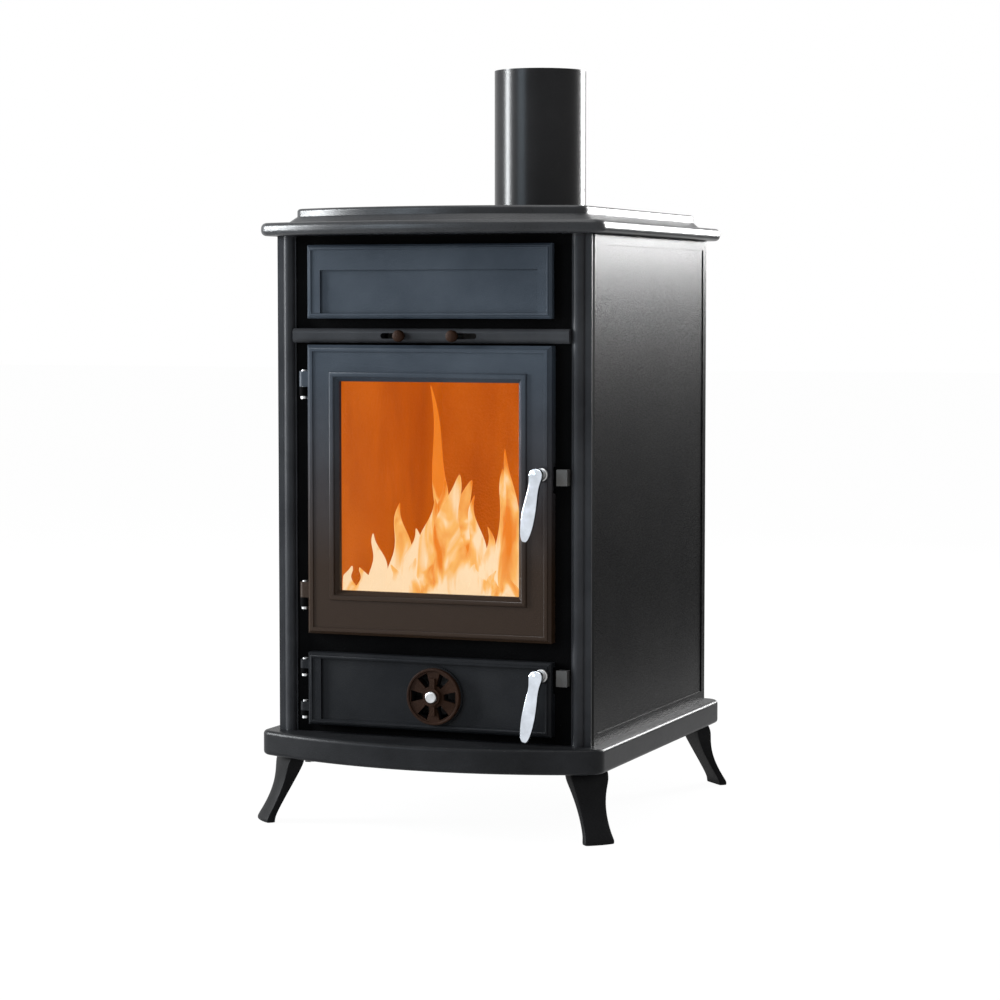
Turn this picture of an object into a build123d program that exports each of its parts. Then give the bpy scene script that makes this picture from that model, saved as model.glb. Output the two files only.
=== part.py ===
from build123d import *
import os
from math import cos, sin, sqrt, radians

os.makedirs("parts", exist_ok=True)

# Front, from the floor up (all sizes in mm)
leg_height = 104
plinth_height = 38
ash_door_rise = 13  # plinth to ash door
ash_door_height = 111
door_gap = 29  # ash door to fire door
fire_door_height = 440
rail_gap = 3
rail_height = 22
panel_gap = 15  # rail to upper panel
upper_panel_height = 111
lip_gap = 14  # upper panel to the lip of the top plate
lip_height = 20
cove_height = 10
crown_height = 12
pipe_height = 235  # above the top plate

# Plan
door_width = 396
side_margin = 57  # door edge to body side
body_depth = 555
overhang = 23  # lip and plinth beyond the body
bow = 65  # bulge of the lip and plinth at the front
corner_radius = 26
tier_inset = 42  # crown behind the lip, front and sides
tier_rear_inset = 11
foot_reach = 40  # feet beyond the body

# Castings
wall = 8  # side and back panels
frame_thickness = 10  # front casting
base_wall = 10
crown_wall = 8
field_depth = 1.5  # side panels' sunk field
field_border = 16

# Flue
flue_radius = 75
pipe_wall = 1.8
spigot_wall = 6
spigot_height = 60
spigot_gap = 0.2
flange_width = 11
flange_thickness = 6
flue_setback = 97  # flue centre to the body's back

# Doors
door_plate = 12  # thickness of a door's face
door_back = 10  # back of a door's face, in front of the frame
door_clearance = 1.5
skirt = 6  # rim at the back of a door
stile = 52
bottom_rail = 67
top_rail = 55
seal_width = 10
seal_inset = 25  # door side to its rope seal
seal_inset_end = 14  # top or bottom of the fire door to its seal
ash_seal_width = 8
ash_seal_inset_end = 8
seal_land = 3  # seal to the edge of the opening in the frame
seal_groove = 2
touch_gap = 0.3  # faces of different bodies that almost touch

# Glass
glass_thickness = 4
glass_overlap = 7
gasket_thickness = 1
clip_length = 14
clip_reach = 4  # over the glass
clip_thickness = 2
clip_gap = 1.5  # glass edge to clip foot
clip_foot = 7

# Hinges
hinge_offset = 9  # door edge to pin axis
hinge_depth = 11  # pin axis in front of the frame
knuckle_radius = 7.5
pin_radius = 4
running = 0.05  # radial clearance of what turns
seated = 0.02  # radial clearance of what is fixed
fire_lug = 14
fire_knuckle = 24
fire_hinge_inset = 40  # door end to its hinge
ash_lug = 8
ash_knuckle = 14
ash_hinge_inset = 12

# Latches and handles
latch_inset = 12  # door edge to the spindle
spindle_radius = 5
fire_latch_height = 251  # above the door's bottom
ash_latch_height = 93
lever_boss = 11
lever_length = 90
lever_lean = 11  # degrees from hanging straight down
lever_back = 44  # back of the lever, in front of the frame
lever_thickness = 12
lever_neck = 9  # half width at the boss
lever_end = 11  # half width at the tip
boss_height = 5
tongue_length = 26
tongue_half = 7
tongue_hub = 8
tongue_thickness = 5
tongue_back = 3.5
keeper_gap = 6  # door edge to keeper
keeper_width = 17
keeper_strap = 5
keeper_half = 12
keeper_web = 6

# Air controls
rail_depth = 16
knob_spacing = 86
knob_radius = 9
knob_length = 18
stem_radius = 4
air_travel = 30
air_plate_inner = 4  # from the middle of the stove
air_plate_outer = 98
air_plate_height = 26
air_plate_thickness = 3
air_window = (11, 35)  # hole in a plate, from the middle of the stove
air_window_height = 10
air_guide = 7  # height of each guide strip
rosette_radius = 43
rosette_offset = 12  # right of the door's middle
rosette_height = 53  # above the ash door's bottom
rosette_seat = 45
rosette_thickness = 5
rosette_hub = 13
rosette_hub_height = 12
rosette_rib = 28
rosette_ring = 36  # outer radius of the air slots
rosette_core = 17
stud_radius = 4
stud_head = 9

# Upper panel
upper_standoff = 8
upper_plate = 12
upper_field_side = 22
upper_field_bottom = 8
upper_field_top = 38
upper_field_depth = 4

# Firebox
hearth_rise = 5  # above the fire door's bottom
hearth_thickness = 12
liner_thickness = 30
liner_gap = 29  # between side liner and side panel
rear_gap = 27  # between rear liner and back panel
liner_front = 30
baffle_rise = 10  # liners above the window
baffle_thickness = 20
baffle_throat = 100  # smoke gap in front of the baffle
grate_width = 220
grate_length = 280
grate_thickness = 12
grate_rebate = 10
grate_slot = 8
guard_height = 40
guard_thickness = 8
guard_width = 300
support_width = 25  # side panel to the hearth plate
support_lap = 14  # under the hearth plate
support_height = 12

# Ash pan
pan_width = 290
pan_length = 380
pan_wall = 2
pan_clearance = 2  # under the pan, from the sill of the opening
pan_headroom = 6
runner_width = 20

# Frame and fasteners
rod_radius = 5
rod_inset = 11  # side panel to rod axis
rod_setback = 60  # rod axis to the front and back of the body
rod_grip = 20  # into the top plate
nut_height = 8
nut_radius = 8
post_width = 31
post_plate = 3
bead_radius = 9
bead_inset = 20  # body side to the bead's middle
shield_gap = 12
shield_thickness = 1.5
shield_margin = 55
bolt_radius = 5
bolt_head = 9

# Places worked out from the sizes above
body_width = door_width + 2 * side_margin
half = body_width / 2
door_half = door_width / 2
front_y = (bow + overhang - body_depth - foot_reach) / 2
back_y = front_y + body_depth
body_z = leg_height + plinth_height
ash_z = body_z + ash_door_rise
fire_z = ash_z + ash_door_height + door_gap
rail_z = fire_z + fire_door_height + rail_gap
panel_z = rail_z + rail_height + panel_gap
top_z = panel_z + upper_panel_height + lip_gap
lid_z = top_z + lip_height + cove_height + crown_height
door_face = door_back + door_plate
opening_half = door_half - seal_inset - seal_width - seal_land
ash_opening_half = door_half - seal_inset - ash_seal_width - seal_land
fire_opening_low = fire_z + seal_inset_end + seal_width + seal_land
fire_opening_high = fire_z + fire_door_height - seal_inset_end - seal_width - seal_land
ash_opening_low = ash_z + ash_seal_inset_end + ash_seal_width + seal_land
ash_opening_high = ash_z + ash_door_height - ash_seal_inset_end - ash_seal_width - seal_land
window_half = door_half - stile
window_low = fire_z + bottom_rail
window_high = fire_z + fire_door_height - top_rail
hinge_x = -door_half - hinge_offset
latch_x = door_half - latch_inset
fire_latch_z = fire_z + fire_latch_height
ash_latch_z = ash_z + ash_latch_height
rail_mid = rail_z + rail_height / 2
rosette_z = ash_z + rosette_height
hearth_z = fire_z + hearth_rise
hearth_top = hearth_z + hearth_thickness
liner_top = window_high + baffle_rise
liner_outer = half - wall - liner_gap
rear_liner_back = body_depth - wall - rear_gap
flue_y = back_y - flue_setback
pan_z = ash_opening_low + pan_clearance
crown_z = lid_z - crown_wall
spigot_outer = flue_radius - pipe_wall - spigot_gap
rod_x = half - wall - rod_inset
rod_depths = (rod_setback, body_depth - rod_setback)
air_slot_mid = knob_spacing / 2 + air_travel / 2


def at_front(proud):
    """Elevation plane, proud of the front casting's face."""
    return Plane.XZ.offset(proud - front_y)


def block(x, depth, z, mode=Mode.ADD):
    """A box between two values of x, of depth behind the front face, and of z."""
    size = (x[1] - x[0], depth[1] - depth[0], z[1] - z[0])
    with Locations((x[0], front_y + depth[0], z[0])):
        Box(*size, align=(Align.MIN, Align.MIN, Align.MIN), mode=mode)


def post(x, depth, z, radius, mode=Mode.ADD):
    """A vertical cylinder between two values of z."""
    with Locations((x, front_y + depth, z[0])):
        Cylinder(radius, z[1] - z[0], align=(Align.CENTER, Align.CENTER, Align.MIN), mode=mode)


def dowel(x, z, proud, radius, mode=Mode.ADD):
    """A round piece that points at the viewer, between two distances in front of the frame."""
    with BuildSketch(at_front(proud[0])) as outline:
        with Locations((x, z)):
            Circle(radius)
    extrude(outline.sketch, amount=proud[1] - proud[0], mode=mode)


def bowed_plan(z, grow, rear_grow):
    """Outline of the top plate and plinth, larger than the body by grow."""
    side = half + grow
    front = front_y - grow
    rear = back_y + rear_grow
    with BuildSketch(Plane.XY.offset(z)) as plan:
        with BuildLine():
            Polyline((side, front), (side, rear), (-side, rear), (-side, front))
            ThreePointArc((-side, front), (0, front - bow), (side, front))
        make_face()
        fillet(plan.vertices(), corner_radius)
    return plan.sketch


def frame_ring(plane, half_width, low, high, width):
    """A rectangular band, width wide, inside the given rectangle."""
    middle = (low + high) / 2
    with BuildSketch(plane) as ring:
        with Locations((0, middle)):
            Rectangle(2 * half_width, high - low)
            Rectangle(2 * (half_width - width), high - low - 2 * width, mode=Mode.SUBTRACT)
    return ring.sketch


def plate(plane, half_width, low, high):
    """A rectangle in elevation."""
    with BuildSketch(plane) as face:
        with Locations((0, (low + high) / 2)):
            Rectangle(2 * half_width, high - low)
    return face.sketch


# Base and legs

leg_inset = 14  # leg axis inside the body's corner
leg_width_top = 74
leg_width_foot = 54
pad_length = 56
pad_width = 44
pad_thickness = 8
pad_bolt = 28  # leg axis to its bolt, inwards
bolt_grip = 24  # into the base
diagonal = 1 / sqrt(2)
foot_out = (foot_reach + leg_inset) / diagonal - leg_width_foot / 2
foot_in = foot_out - 11
knee_z = leg_height * 0.72
plinth_round = 6
block_width = 75  # solid corner over each leg
block_depth = 48

leg_places = {
    "front_left": (-1, -1, front_y + leg_inset),
    "front_right": (1, -1, front_y + leg_inset),
    "rear_left": (-1, 1, back_y - leg_inset),
    "rear_right": (1, 1, back_y - leg_inset),
}


def bolt_place(side, end, y):
    """Centre of a leg's bolt, inwards from the leg along the diagonal."""
    x = side * (half - leg_inset - pad_bolt * diagonal)
    return x, y - end * pad_bolt * diagonal


base_pocket_shift = 30  # pocket sits this far ahead of the body
with BuildPart() as base_plate:
    extrude(bowed_plan(leg_height, overhang, overhang), amount=plinth_height)
    rims = base_plate.edges().group_by(Axis.Z)
    fillet(rims[0] + rims[-1], plinth_round)
    pocket = (leg_height, body_z - base_wall)
    between_blocks = (-half + block_width, half - block_width)
    pocket_depth = (-base_pocket_shift, body_depth - base_pocket_shift)
    block(between_blocks, pocket_depth, pocket, Mode.SUBTRACT)
    reach = rod_x + nut_radius
    block((-reach, reach), (block_depth, body_depth - block_depth), pocket, Mode.SUBTRACT)
    for depth in rod_depths:
        post(rod_x, depth, (leg_height, body_z), rod_radius + seated, Mode.SUBTRACT)
        post(-rod_x, depth, (leg_height, body_z), rod_radius + seated, Mode.SUBTRACT)
    for side, end, y in leg_places.values():
        x, bolt_y = bolt_place(side, end, y)
        post(x, bolt_y - front_y, (leg_height, leg_height + bolt_grip), bolt_radius + seated, Mode.SUBTRACT)
base_plate.part.label = "base_plate"
export_step(base_plate.part, "parts/base_plate.step")

for name, (side, end, y) in leg_places.items():
    out = Vector(side, end, 0).normalized()
    up = Vector(0, 0, 1)
    across = up.cross(out)
    foot = (side * (half - leg_inset), y, 0)
    pad_place = (side * (half - leg_inset), y, leg_height - pad_thickness)
    with BuildPart() as leg:
        with BuildSketch(Plane(origin=foot, x_dir=out, z_dir=out.cross(up))):
            with BuildLine():
                Spline((13, leg_height), (14, knee_z), (foot_out * 0.7, leg_height * 0.33), (foot_out, 0))
                Line((foot_out, 0), (foot_in, 0))
                Spline((foot_in, 0), (foot_out * 0.2, leg_height * 0.36), (-4, knee_z), (-9, leg_height))
                Line((-9, leg_height), (13, leg_height))
            make_face()
        extrude(amount=leg_width_top / 2, both=True)
        with BuildSketch(Plane(origin=foot, x_dir=across, z_dir=across.cross(up))):
            Polygon(
                (-leg_width_top / 2, leg_height),
                (leg_width_top / 2, leg_height),
                (leg_width_foot / 2 - 1, leg_height * 0.3),
                (leg_width_foot / 2, 0),
                (-leg_width_foot / 2, 0),
                (-leg_width_foot / 2 + 1, leg_height * 0.3),
                align=None,
            )
        extrude(amount=2 * pad_length, both=True, mode=Mode.INTERSECT)
        with BuildSketch(Plane(origin=pad_place, x_dir=out, z_dir=up)):
            with Locations((10 - pad_length / 2, 0)):
                RectangleRounded(pad_length, pad_width, 8)
            with Locations((-pad_bolt, 0)):
                Circle(bolt_radius + seated, mode=Mode.SUBTRACT)
        extrude(amount=pad_thickness)
    leg.part.label = f"{name}_leg"
    export_step(leg.part, f"parts/{name}_leg.step")

with BuildPart() as leg_bolts:
    for side, end, y in leg_places.values():
        x, bolt_y = bolt_place(side, end, y)
        under = leg_height - pad_thickness
        with BuildSketch(Plane((x, bolt_y, under - nut_height))):
            RegularPolygon(bolt_head, 6)
        extrude(amount=nut_height)
        post(x, bolt_y - front_y, (under, leg_height + bolt_grip), bolt_radius)
leg_bolts.part.label = "leg_bolts"
export_step(leg_bolts.part, "parts/leg_bolts.step")

# Body panels

for name, side in (("left", -1), ("right", 1)):
    with BuildPart() as side_panel:
        near, far = sorted((side * (half - wall), side * half))
        block((near, far), (frame_thickness, body_depth), (body_z, top_z))
        near, far = sorted((side * (half - field_depth), side * half))
        block(
            (near, far),
            (frame_thickness + field_border, body_depth - field_border),
            (body_z + field_border, top_z - field_border),
            Mode.SUBTRACT,
        )
    side_panel.part.label = f"{name}_side_panel"
    export_step(side_panel.part, f"parts/{name}_side_panel.step")

shield_half = half - shield_margin
shield_low = body_z + shield_margin
shield_high = top_z - shield_margin
shield_screw_radius = 3
shield_points = [
    (x, z)
    for x in (-shield_half + 20, shield_half - 20)
    for z in (shield_low + 25, shield_high - 25)
]

with BuildPart() as back_panel:
    block((-half + wall, half - wall), (body_depth - wall, body_depth), (body_z, top_z))
    for x, z in shield_points:
        dowel(x, z, (-body_depth, wall - body_depth), shield_screw_radius + seated, Mode.SUBTRACT)
back_panel.part.label = "back_panel"
export_step(back_panel.part, "parts/back_panel.step")

with BuildPart() as rear_heat_shield:
    near = body_depth + shield_gap
    block((-shield_half, shield_half), (near, near + shield_thickness), (shield_low, shield_high))
    for x, z in shield_points:
        dowel(x, z, (-near - shield_thickness, -near), shield_screw_radius + seated, Mode.SUBTRACT)
rear_heat_shield.part.label = "rear_heat_shield"
export_step(rear_heat_shield.part, "parts/rear_heat_shield.step")

with BuildPart() as shield_spacers:
    for x, z in shield_points:
        dowel(x, z, (-body_depth - shield_gap, -body_depth), shield_screw_radius + 4)
        dowel(x, z, (-body_depth - shield_gap, -body_depth), shield_screw_radius + seated, Mode.SUBTRACT)
shield_spacers.part.label = "shield_spacers"
export_step(shield_spacers.part, "parts/shield_spacers.step")

with BuildPart() as shield_screws:
    behind = body_depth + shield_gap + shield_thickness
    for x, z in shield_points:
        dowel(x, z, (-behind - 3, -behind), shield_screw_radius + 3)
        dowel(x, z, (-behind, wall - body_depth), shield_screw_radius)
shield_screws.part.label = "shield_screws"
export_step(shield_screws.part, "parts/shield_screws.step")

# Front casting with its openings, hinge lugs and air slots

slot_length = air_travel + 2 * (stem_radius + 1)
slot_height = 2 * (stem_radius + touch_gap)

hinges = [
    (fire_z + fire_hinge_inset, fire_lug, fire_knuckle),
    (fire_z + fire_door_height - fire_hinge_inset - fire_lug - fire_knuckle, fire_lug, fire_knuckle),
    (ash_z + ash_hinge_inset, ash_lug, ash_knuckle),
    (ash_z + ash_door_height - ash_hinge_inset - ash_lug - ash_knuckle, ash_lug, ash_knuckle),
]
fire_hinges = hinges[:2]
ash_hinges = hinges[2:]
keeper_x = door_half + keeper_gap
keeper_drop = 5  # below the latch's axis
keeper_screws_z = 8  # each side of its middle
keeper_base = 3
screw_radius = 2
screw_head = 3.5
panel_screw_side = 40  # from the panel's end
panel_screw_edge = 20
panel_screws = [
    (x, z)
    for x in (-door_half + panel_screw_side, door_half - panel_screw_side)
    for z in (panel_z + panel_screw_edge, panel_z + upper_panel_height - panel_screw_edge)
]


def air_slots(proud, depth):
    """The two slots that the stems of the air controls run in."""
    for side in (-1, 1):
        with BuildSketch(at_front(proud)) as slot:
            with Locations((side * air_slot_mid, rail_mid)):
                SlotOverall(slot_length, slot_height)
        extrude(slot.sketch, amount=-depth, mode=Mode.SUBTRACT)


with BuildPart() as front_frame:
    extrude(plate(at_front(0), half, body_z, top_z), amount=-frame_thickness)
    extrude(
        plate(at_front(0), opening_half, fire_opening_low, fire_opening_high),
        amount=-frame_thickness,
        mode=Mode.SUBTRACT,
    )
    extrude(
        plate(at_front(0), ash_opening_half, ash_opening_low, ash_opening_high),
        amount=-frame_thickness,
        mode=Mode.SUBTRACT,
    )
    air_slots(0, frame_thickness)
    for z, lug, knuckle in hinges:
        post(hinge_x, -hinge_depth, (z, z + lug), knuckle_radius)
        block((hinge_x - knuckle_radius, hinge_x + knuckle_radius), (-hinge_depth, 0), (z, z + lug))
        post(hinge_x, -hinge_depth, (z, z + lug), pin_radius + seated, Mode.SUBTRACT)
    for x, z in panel_screws:
        dowel(x, z, (-frame_thickness, 0), screw_radius + seated, Mode.SUBTRACT)
    for latch_z in (fire_latch_z, ash_latch_z):
        for lift in (-keeper_screws_z, keeper_screws_z):
            z = latch_z - keeper_drop + lift
            dowel(keeper_x + 5, z, (-frame_thickness, 0), screw_radius + seated, Mode.SUBTRACT)
front_frame.part.label = "front_frame"
export_step(front_frame.part, "parts/front_frame.step")

with BuildPart() as hinge_pins:
    for z, lug, knuckle in hinges:
        post(hinge_x, -hinge_depth, (z - 2, z + lug + knuckle + 2), pin_radius)
        post(hinge_x, -hinge_depth, (z - 4, z), pin_radius + 1.5)
hinge_pins.part.label = "hinge_pins"
export_step(hinge_pins.part, "parts/hinge_pins.step")

for name, side in (("left", -1), ("right", 1)):
    with BuildPart() as corner_post:
        near, far = sorted((side * (half - post_width), side * half))
        block((near, far), (-post_plate, 0), (body_z, top_z))
        with BuildSketch(Plane.XY.offset(body_z)):
            with Locations((side * (half - bead_inset), front_y - post_plate)):
                Circle(bead_radius)
            with Locations((side * (half - bead_inset), front_y + bead_radius)):
                Rectangle(2 * bead_radius, 2 * bead_radius, mode=Mode.SUBTRACT)
        extrude(amount=top_z - body_z)
    corner_post.part.label = f"{name}_corner_post"
    export_step(corner_post.part, f"parts/{name}_corner_post.step")

rail_half = half - post_width
with BuildPart() as air_rail:
    block((-rail_half, rail_half), (-rail_depth, 0), (rail_z, rail_z + rail_height))
    fillet(air_rail.edges().filter_by(Axis.X).group_by(Axis.Y)[0], rail_height * 0.3)
    air_slots(rail_depth, rail_depth)
air_rail.part.label = "air_rail"
export_step(air_rail.part, "parts/air_rail.step")

# Keepers that hold the latch tongues

strap_back = tongue_back + tongue_thickness + 0.7
for name, latch_z in (("fire", fire_latch_z), ("ash", ash_latch_z)):
    middle = latch_z - keeper_drop
    span = (middle - keeper_half, middle + keeper_half)
    far = keeper_x + keeper_width
    with BuildPart() as keeper:
        block((keeper_x, far), (-strap_back - keeper_strap, -strap_back), span)
        block((far - keeper_web, far), (-strap_back, 0), span)
        block((keeper_x, far), (-keeper_base, 0), span)
        for lift in (-keeper_screws_z, keeper_screws_z):
            dowel(keeper_x + 5, middle + lift, (0, keeper_base), screw_radius + seated, Mode.SUBTRACT)
    keeper.part.label = f"{name}_door_keeper"
    export_step(keeper.part, f"parts/{name}_door_keeper.step")

with BuildPart() as keeper_screws:
    for latch_z in (fire_latch_z, ash_latch_z):
        for lift in (-keeper_screws_z, keeper_screws_z):
            z = latch_z - keeper_drop + lift
            dowel(keeper_x + 5, z, (-frame_thickness, keeper_base), screw_radius)
            dowel(keeper_x + 5, z, (-frame_thickness - 2, -frame_thickness), screw_head)
keeper_screws.part.label = "keeper_screws"
export_step(keeper_screws.part, "parts/keeper_screws.step")

# Upper panel on its four bosses

with BuildPart() as upper_panel:
    extrude(
        plate(at_front(upper_standoff), door_half, panel_z, panel_z + upper_panel_height),
        amount=upper_plate,
    )
    chamfer(upper_panel.faces().sort_by(Axis.Y)[0].edges(), 3)
    extrude(
        plate(
            at_front(upper_standoff + upper_plate),
            door_half - upper_field_side,
            panel_z + upper_field_bottom,
            panel_z + upper_panel_height - upper_field_top,
        ),
        amount=-upper_field_depth,
        mode=Mode.SUBTRACT,
    )
    for x, z in panel_screws:
        dowel(x, z, (0, upper_standoff), 9)
        dowel(x, z, (0, upper_standoff + 5), screw_radius + seated, Mode.SUBTRACT)
upper_panel.part.label = "upper_panel"
export_step(upper_panel.part, "parts/upper_panel.step")

with BuildPart() as upper_panel_screws:
    for x, z in panel_screws:
        dowel(x, z, (-frame_thickness, upper_standoff + 4), screw_radius)
        dowel(x, z, (-frame_thickness - 3, -frame_thickness), screw_head)
upper_panel_screws.part.label = "upper_panel_screws"
export_step(upper_panel_screws.part, "parts/upper_panel_screws.step")

# Top plate and flue

flange_radius = spigot_outer + flange_width
spigot_screw_ring = spigot_outer + flange_width / 2
spigot_screw_radius = 2.5
spigot_screw_grip = 5

with BuildPart() as top_plate:
    extrude(bowed_plan(top_z, overhang, overhang), amount=lip_height)
    rims = top_plate.edges().group_by(Axis.Z)
    fillet(rims[0] + rims[-1], lip_height * 0.42)
    cove_z = top_z + lip_height
    crown_low = cove_z + cove_height
    crown_grow = overhang - tier_inset
    crown_rear = overhang - tier_rear_inset
    loft(
        sections=[
            bowed_plan(cove_z, crown_grow + 11, crown_rear - 1),
            bowed_plan(crown_low, crown_grow, crown_rear - 2),
        ],
        ruled=True,
    )
    extrude(bowed_plan(crown_low, crown_grow, crown_rear - 2), amount=crown_height)
    fillet(top_plate.edges().group_by(Axis.Z)[-1], crown_height * 0.4)
    block(
        (-rod_x + rod_radius + 3, rod_x - rod_radius - 3),
        (2 * frame_thickness, body_depth - wall - 2),
        (top_z, crown_z),
        Mode.SUBTRACT,
    )
    post(0, flue_y - front_y, (crown_z, lid_z), spigot_outer + seated, Mode.SUBTRACT)
    with BuildSketch(Plane((0, flue_y, crown_z))):
        with PolarLocations(spigot_screw_ring, 4, start_angle=45):
            Circle(spigot_screw_radius + seated)
    extrude(amount=spigot_screw_grip, mode=Mode.SUBTRACT)
    for depth in rod_depths:
        for side in (-1, 1):
            post(side * rod_x, depth, (top_z, top_z + rod_grip), rod_radius + seated, Mode.SUBTRACT)
top_plate.part.label = "top_plate"
export_step(top_plate.part, "parts/top_plate.step")

with BuildPart() as flue_spigot:
    with BuildSketch(Plane((0, flue_y, crown_z - flange_thickness))):
        Circle(flange_radius)
        Circle(spigot_outer - spigot_wall, mode=Mode.SUBTRACT)
        with PolarLocations(spigot_screw_ring, 4, start_angle=45):
            Circle(spigot_screw_radius + seated, mode=Mode.SUBTRACT)
    extrude(amount=flange_thickness)
    with BuildSketch(Plane((0, flue_y, crown_z))):
        Circle(spigot_outer)
        Circle(spigot_outer - spigot_wall, mode=Mode.SUBTRACT)
    extrude(amount=crown_wall + spigot_height)
flue_spigot.part.label = "flue_spigot"
export_step(flue_spigot.part, "parts/flue_spigot.step")

with BuildPart() as spigot_screws:
    with BuildSketch(Plane((0, flue_y, crown_z - flange_thickness))):
        with PolarLocations(spigot_screw_ring, 4, start_angle=45):
            Circle(spigot_screw_radius)
    extrude(amount=flange_thickness + spigot_screw_grip)
    with BuildSketch(Plane((0, flue_y, crown_z - flange_thickness - 4))):
        with PolarLocations(spigot_screw_ring, 4, start_angle=45):
            RegularPolygon(4.5, 6)
    extrude(amount=4)
spigot_screws.part.label = "spigot_screws"
export_step(spigot_screws.part, "parts/spigot_screws.step")

with BuildPart() as flue_pipe:
    with BuildSketch(Plane((0, flue_y, lid_z))):
        Circle(flue_radius)
        Circle(flue_radius - pipe_wall, mode=Mode.SUBTRACT)
    extrude(amount=pipe_height)
flue_pipe.part.label = "flue_pipe"
export_step(flue_pipe.part, "parts/flue_pipe.step")

# Tie rods that clamp the panels between base and top

with BuildPart() as tie_rods:
    for depth in rod_depths:
        for side in (-1, 1):
            post(side * rod_x, depth, (body_z - base_wall - nut_height - 4, top_z + rod_grip), rod_radius)
tie_rods.part.label = "tie_rods"
export_step(tie_rods.part, "parts/tie_rods.step")

with BuildPart() as tie_rod_nuts:
    for depth in rod_depths:
        for side in (-1, 1):
            with BuildSketch(Plane((side * rod_x, front_y + depth, body_z - base_wall - nut_height))):
                RegularPolygon(nut_radius, 6)
                Circle(rod_radius + seated, mode=Mode.SUBTRACT)
            extrude(amount=nut_height)
tie_rod_nuts.part.label = "tie_rod_nuts"
export_step(tie_rod_nuts.part, "parts/tie_rod_nuts.step")

# Firebox

support_front = rod_setback + rod_radius + 10
support_back = body_depth - support_front
with BuildPart() as hearth_supports:
    for side in (-1, 1):
        near, far = sorted((side * (half - wall - support_width - support_lap), side * (half - wall)))
        block((near, far), (support_front, support_back), (hearth_z - support_height, hearth_z))
hearth_supports.part.label = "hearth_supports"
export_step(hearth_supports.part, "parts/hearth_supports.step")

hearth_half = half - wall - support_width
grate_mid = (liner_front + rear_liner_back - liner_thickness) / 2
rebate_depth = hearth_thickness / 2
with BuildPart() as hearth_plate:
    block((-hearth_half, hearth_half), (frame_thickness + 2, rear_liner_back), (hearth_z, hearth_top))
    block(
        (grate_rebate - grate_width / 2, grate_width / 2 - grate_rebate),
        (grate_mid + grate_rebate - grate_length / 2, grate_mid - grate_rebate + grate_length / 2),
        (hearth_z, hearth_top),
        Mode.SUBTRACT,
    )
    block(
        (-grate_width / 2 - 1, grate_width / 2 + 1),
        (grate_mid - grate_length / 2 - 1, grate_mid + grate_length / 2 + 1),
        (hearth_top - rebate_depth, hearth_top),
        Mode.SUBTRACT,
    )
hearth_plate.part.label = "hearth_plate"
export_step(hearth_plate.part, "parts/hearth_plate.step")

grate_z = hearth_top - rebate_depth
grate_pitch = 2 * grate_slot
slot_count = int((grate_width - 3 * grate_slot) // grate_pitch)
with BuildPart() as grate:
    block(
        (-grate_width / 2, grate_width / 2),
        (grate_mid - grate_length / 2, grate_mid + grate_length / 2),
        (grate_z, grate_z + grate_thickness),
    )
    with BuildSketch(Plane((0, front_y + grate_mid, grate_z))):
        with GridLocations(grate_pitch, grate_length / 2 - 4, slot_count, 2):
            SlotOverall(grate_length / 2 - 20, grate_slot, rotation=90)
    extrude(amount=grate_thickness, mode=Mode.SUBTRACT)
grate.part.label = "grate"
export_step(grate.part, "parts/grate.step")

with BuildPart() as log_guard:
    front = frame_thickness + 4
    end = guard_width / 2
    block((-end, end), (front, front + guard_thickness), (hearth_top, hearth_top + guard_height))
    for side in (-1, 1):
        ends = sorted((side * end, side * (end - guard_thickness)))
        block(ends, (front, front + 4 * guard_thickness), (hearth_top, hearth_top + guard_height / 2))
log_guard.part.label = "log_guard"
export_step(log_guard.part, "parts/log_guard.step")

with BuildPart() as side_fire_bricks:
    for side in (-1, 1):
        near, far = sorted((side * (liner_outer - liner_thickness), side * liner_outer))
        block((near, far), (liner_front + 10, rear_liner_back - liner_thickness), (hearth_top, liner_top))
side_fire_bricks.part.label = "side_fire_bricks"
export_step(side_fire_bricks.part, "parts/side_fire_bricks.step")

with BuildPart() as rear_fire_brick:
    block(
        (-liner_outer, liner_outer),
        (rear_liner_back - liner_thickness, rear_liner_back),
        (hearth_top, liner_top),
    )
rear_fire_brick.part.label = "rear_fire_brick"
export_step(rear_fire_brick.part, "parts/rear_fire_brick.step")

with BuildPart() as baffle_plate:
    block(
        (-liner_outer + 4, liner_outer - 4),
        (frame_thickness + baffle_throat, rear_liner_back),
        (liner_top, liner_top + baffle_thickness),
    )
    chamfer(baffle_plate.edges().filter_by(Axis.X).group_by(Axis.Y)[0], baffle_thickness / 4)
baffle_plate.part.label = "baffle_plate"
export_step(baffle_plate.part, "parts/baffle_plate.step")

# Ash pan on its runners

pan_front = frame_thickness + 6
pan_height = ash_opening_high - pan_headroom - pan_z
with BuildPart() as ash_pan:
    block((-pan_width / 2, pan_width / 2), (pan_front, pan_front + pan_length), (pan_z, pan_z + pan_height))
    block(
        (pan_wall - pan_width / 2, pan_width / 2 - pan_wall),
        (pan_front + pan_wall, pan_front + pan_length - pan_wall),
        (pan_z + pan_wall, pan_z + pan_height),
        Mode.SUBTRACT,
    )
ash_pan.part.label = "ash_pan"
export_step(ash_pan.part, "parts/ash_pan.step")

with BuildPart() as ash_pan_runners:
    for side in (-1, 1):
        near, far = sorted((side * pan_width / 2, side * (pan_width / 2 - runner_width)))
        block((near, far), (frame_thickness + 2, pan_front + pan_length + 10), (body_z, pan_z))
ash_pan_runners.part.label = "ash_pan_runners"
export_step(ash_pan_runners.part, "parts/ash_pan_runners.step")

# Air box that sends the upper air down the back of the glass

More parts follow.
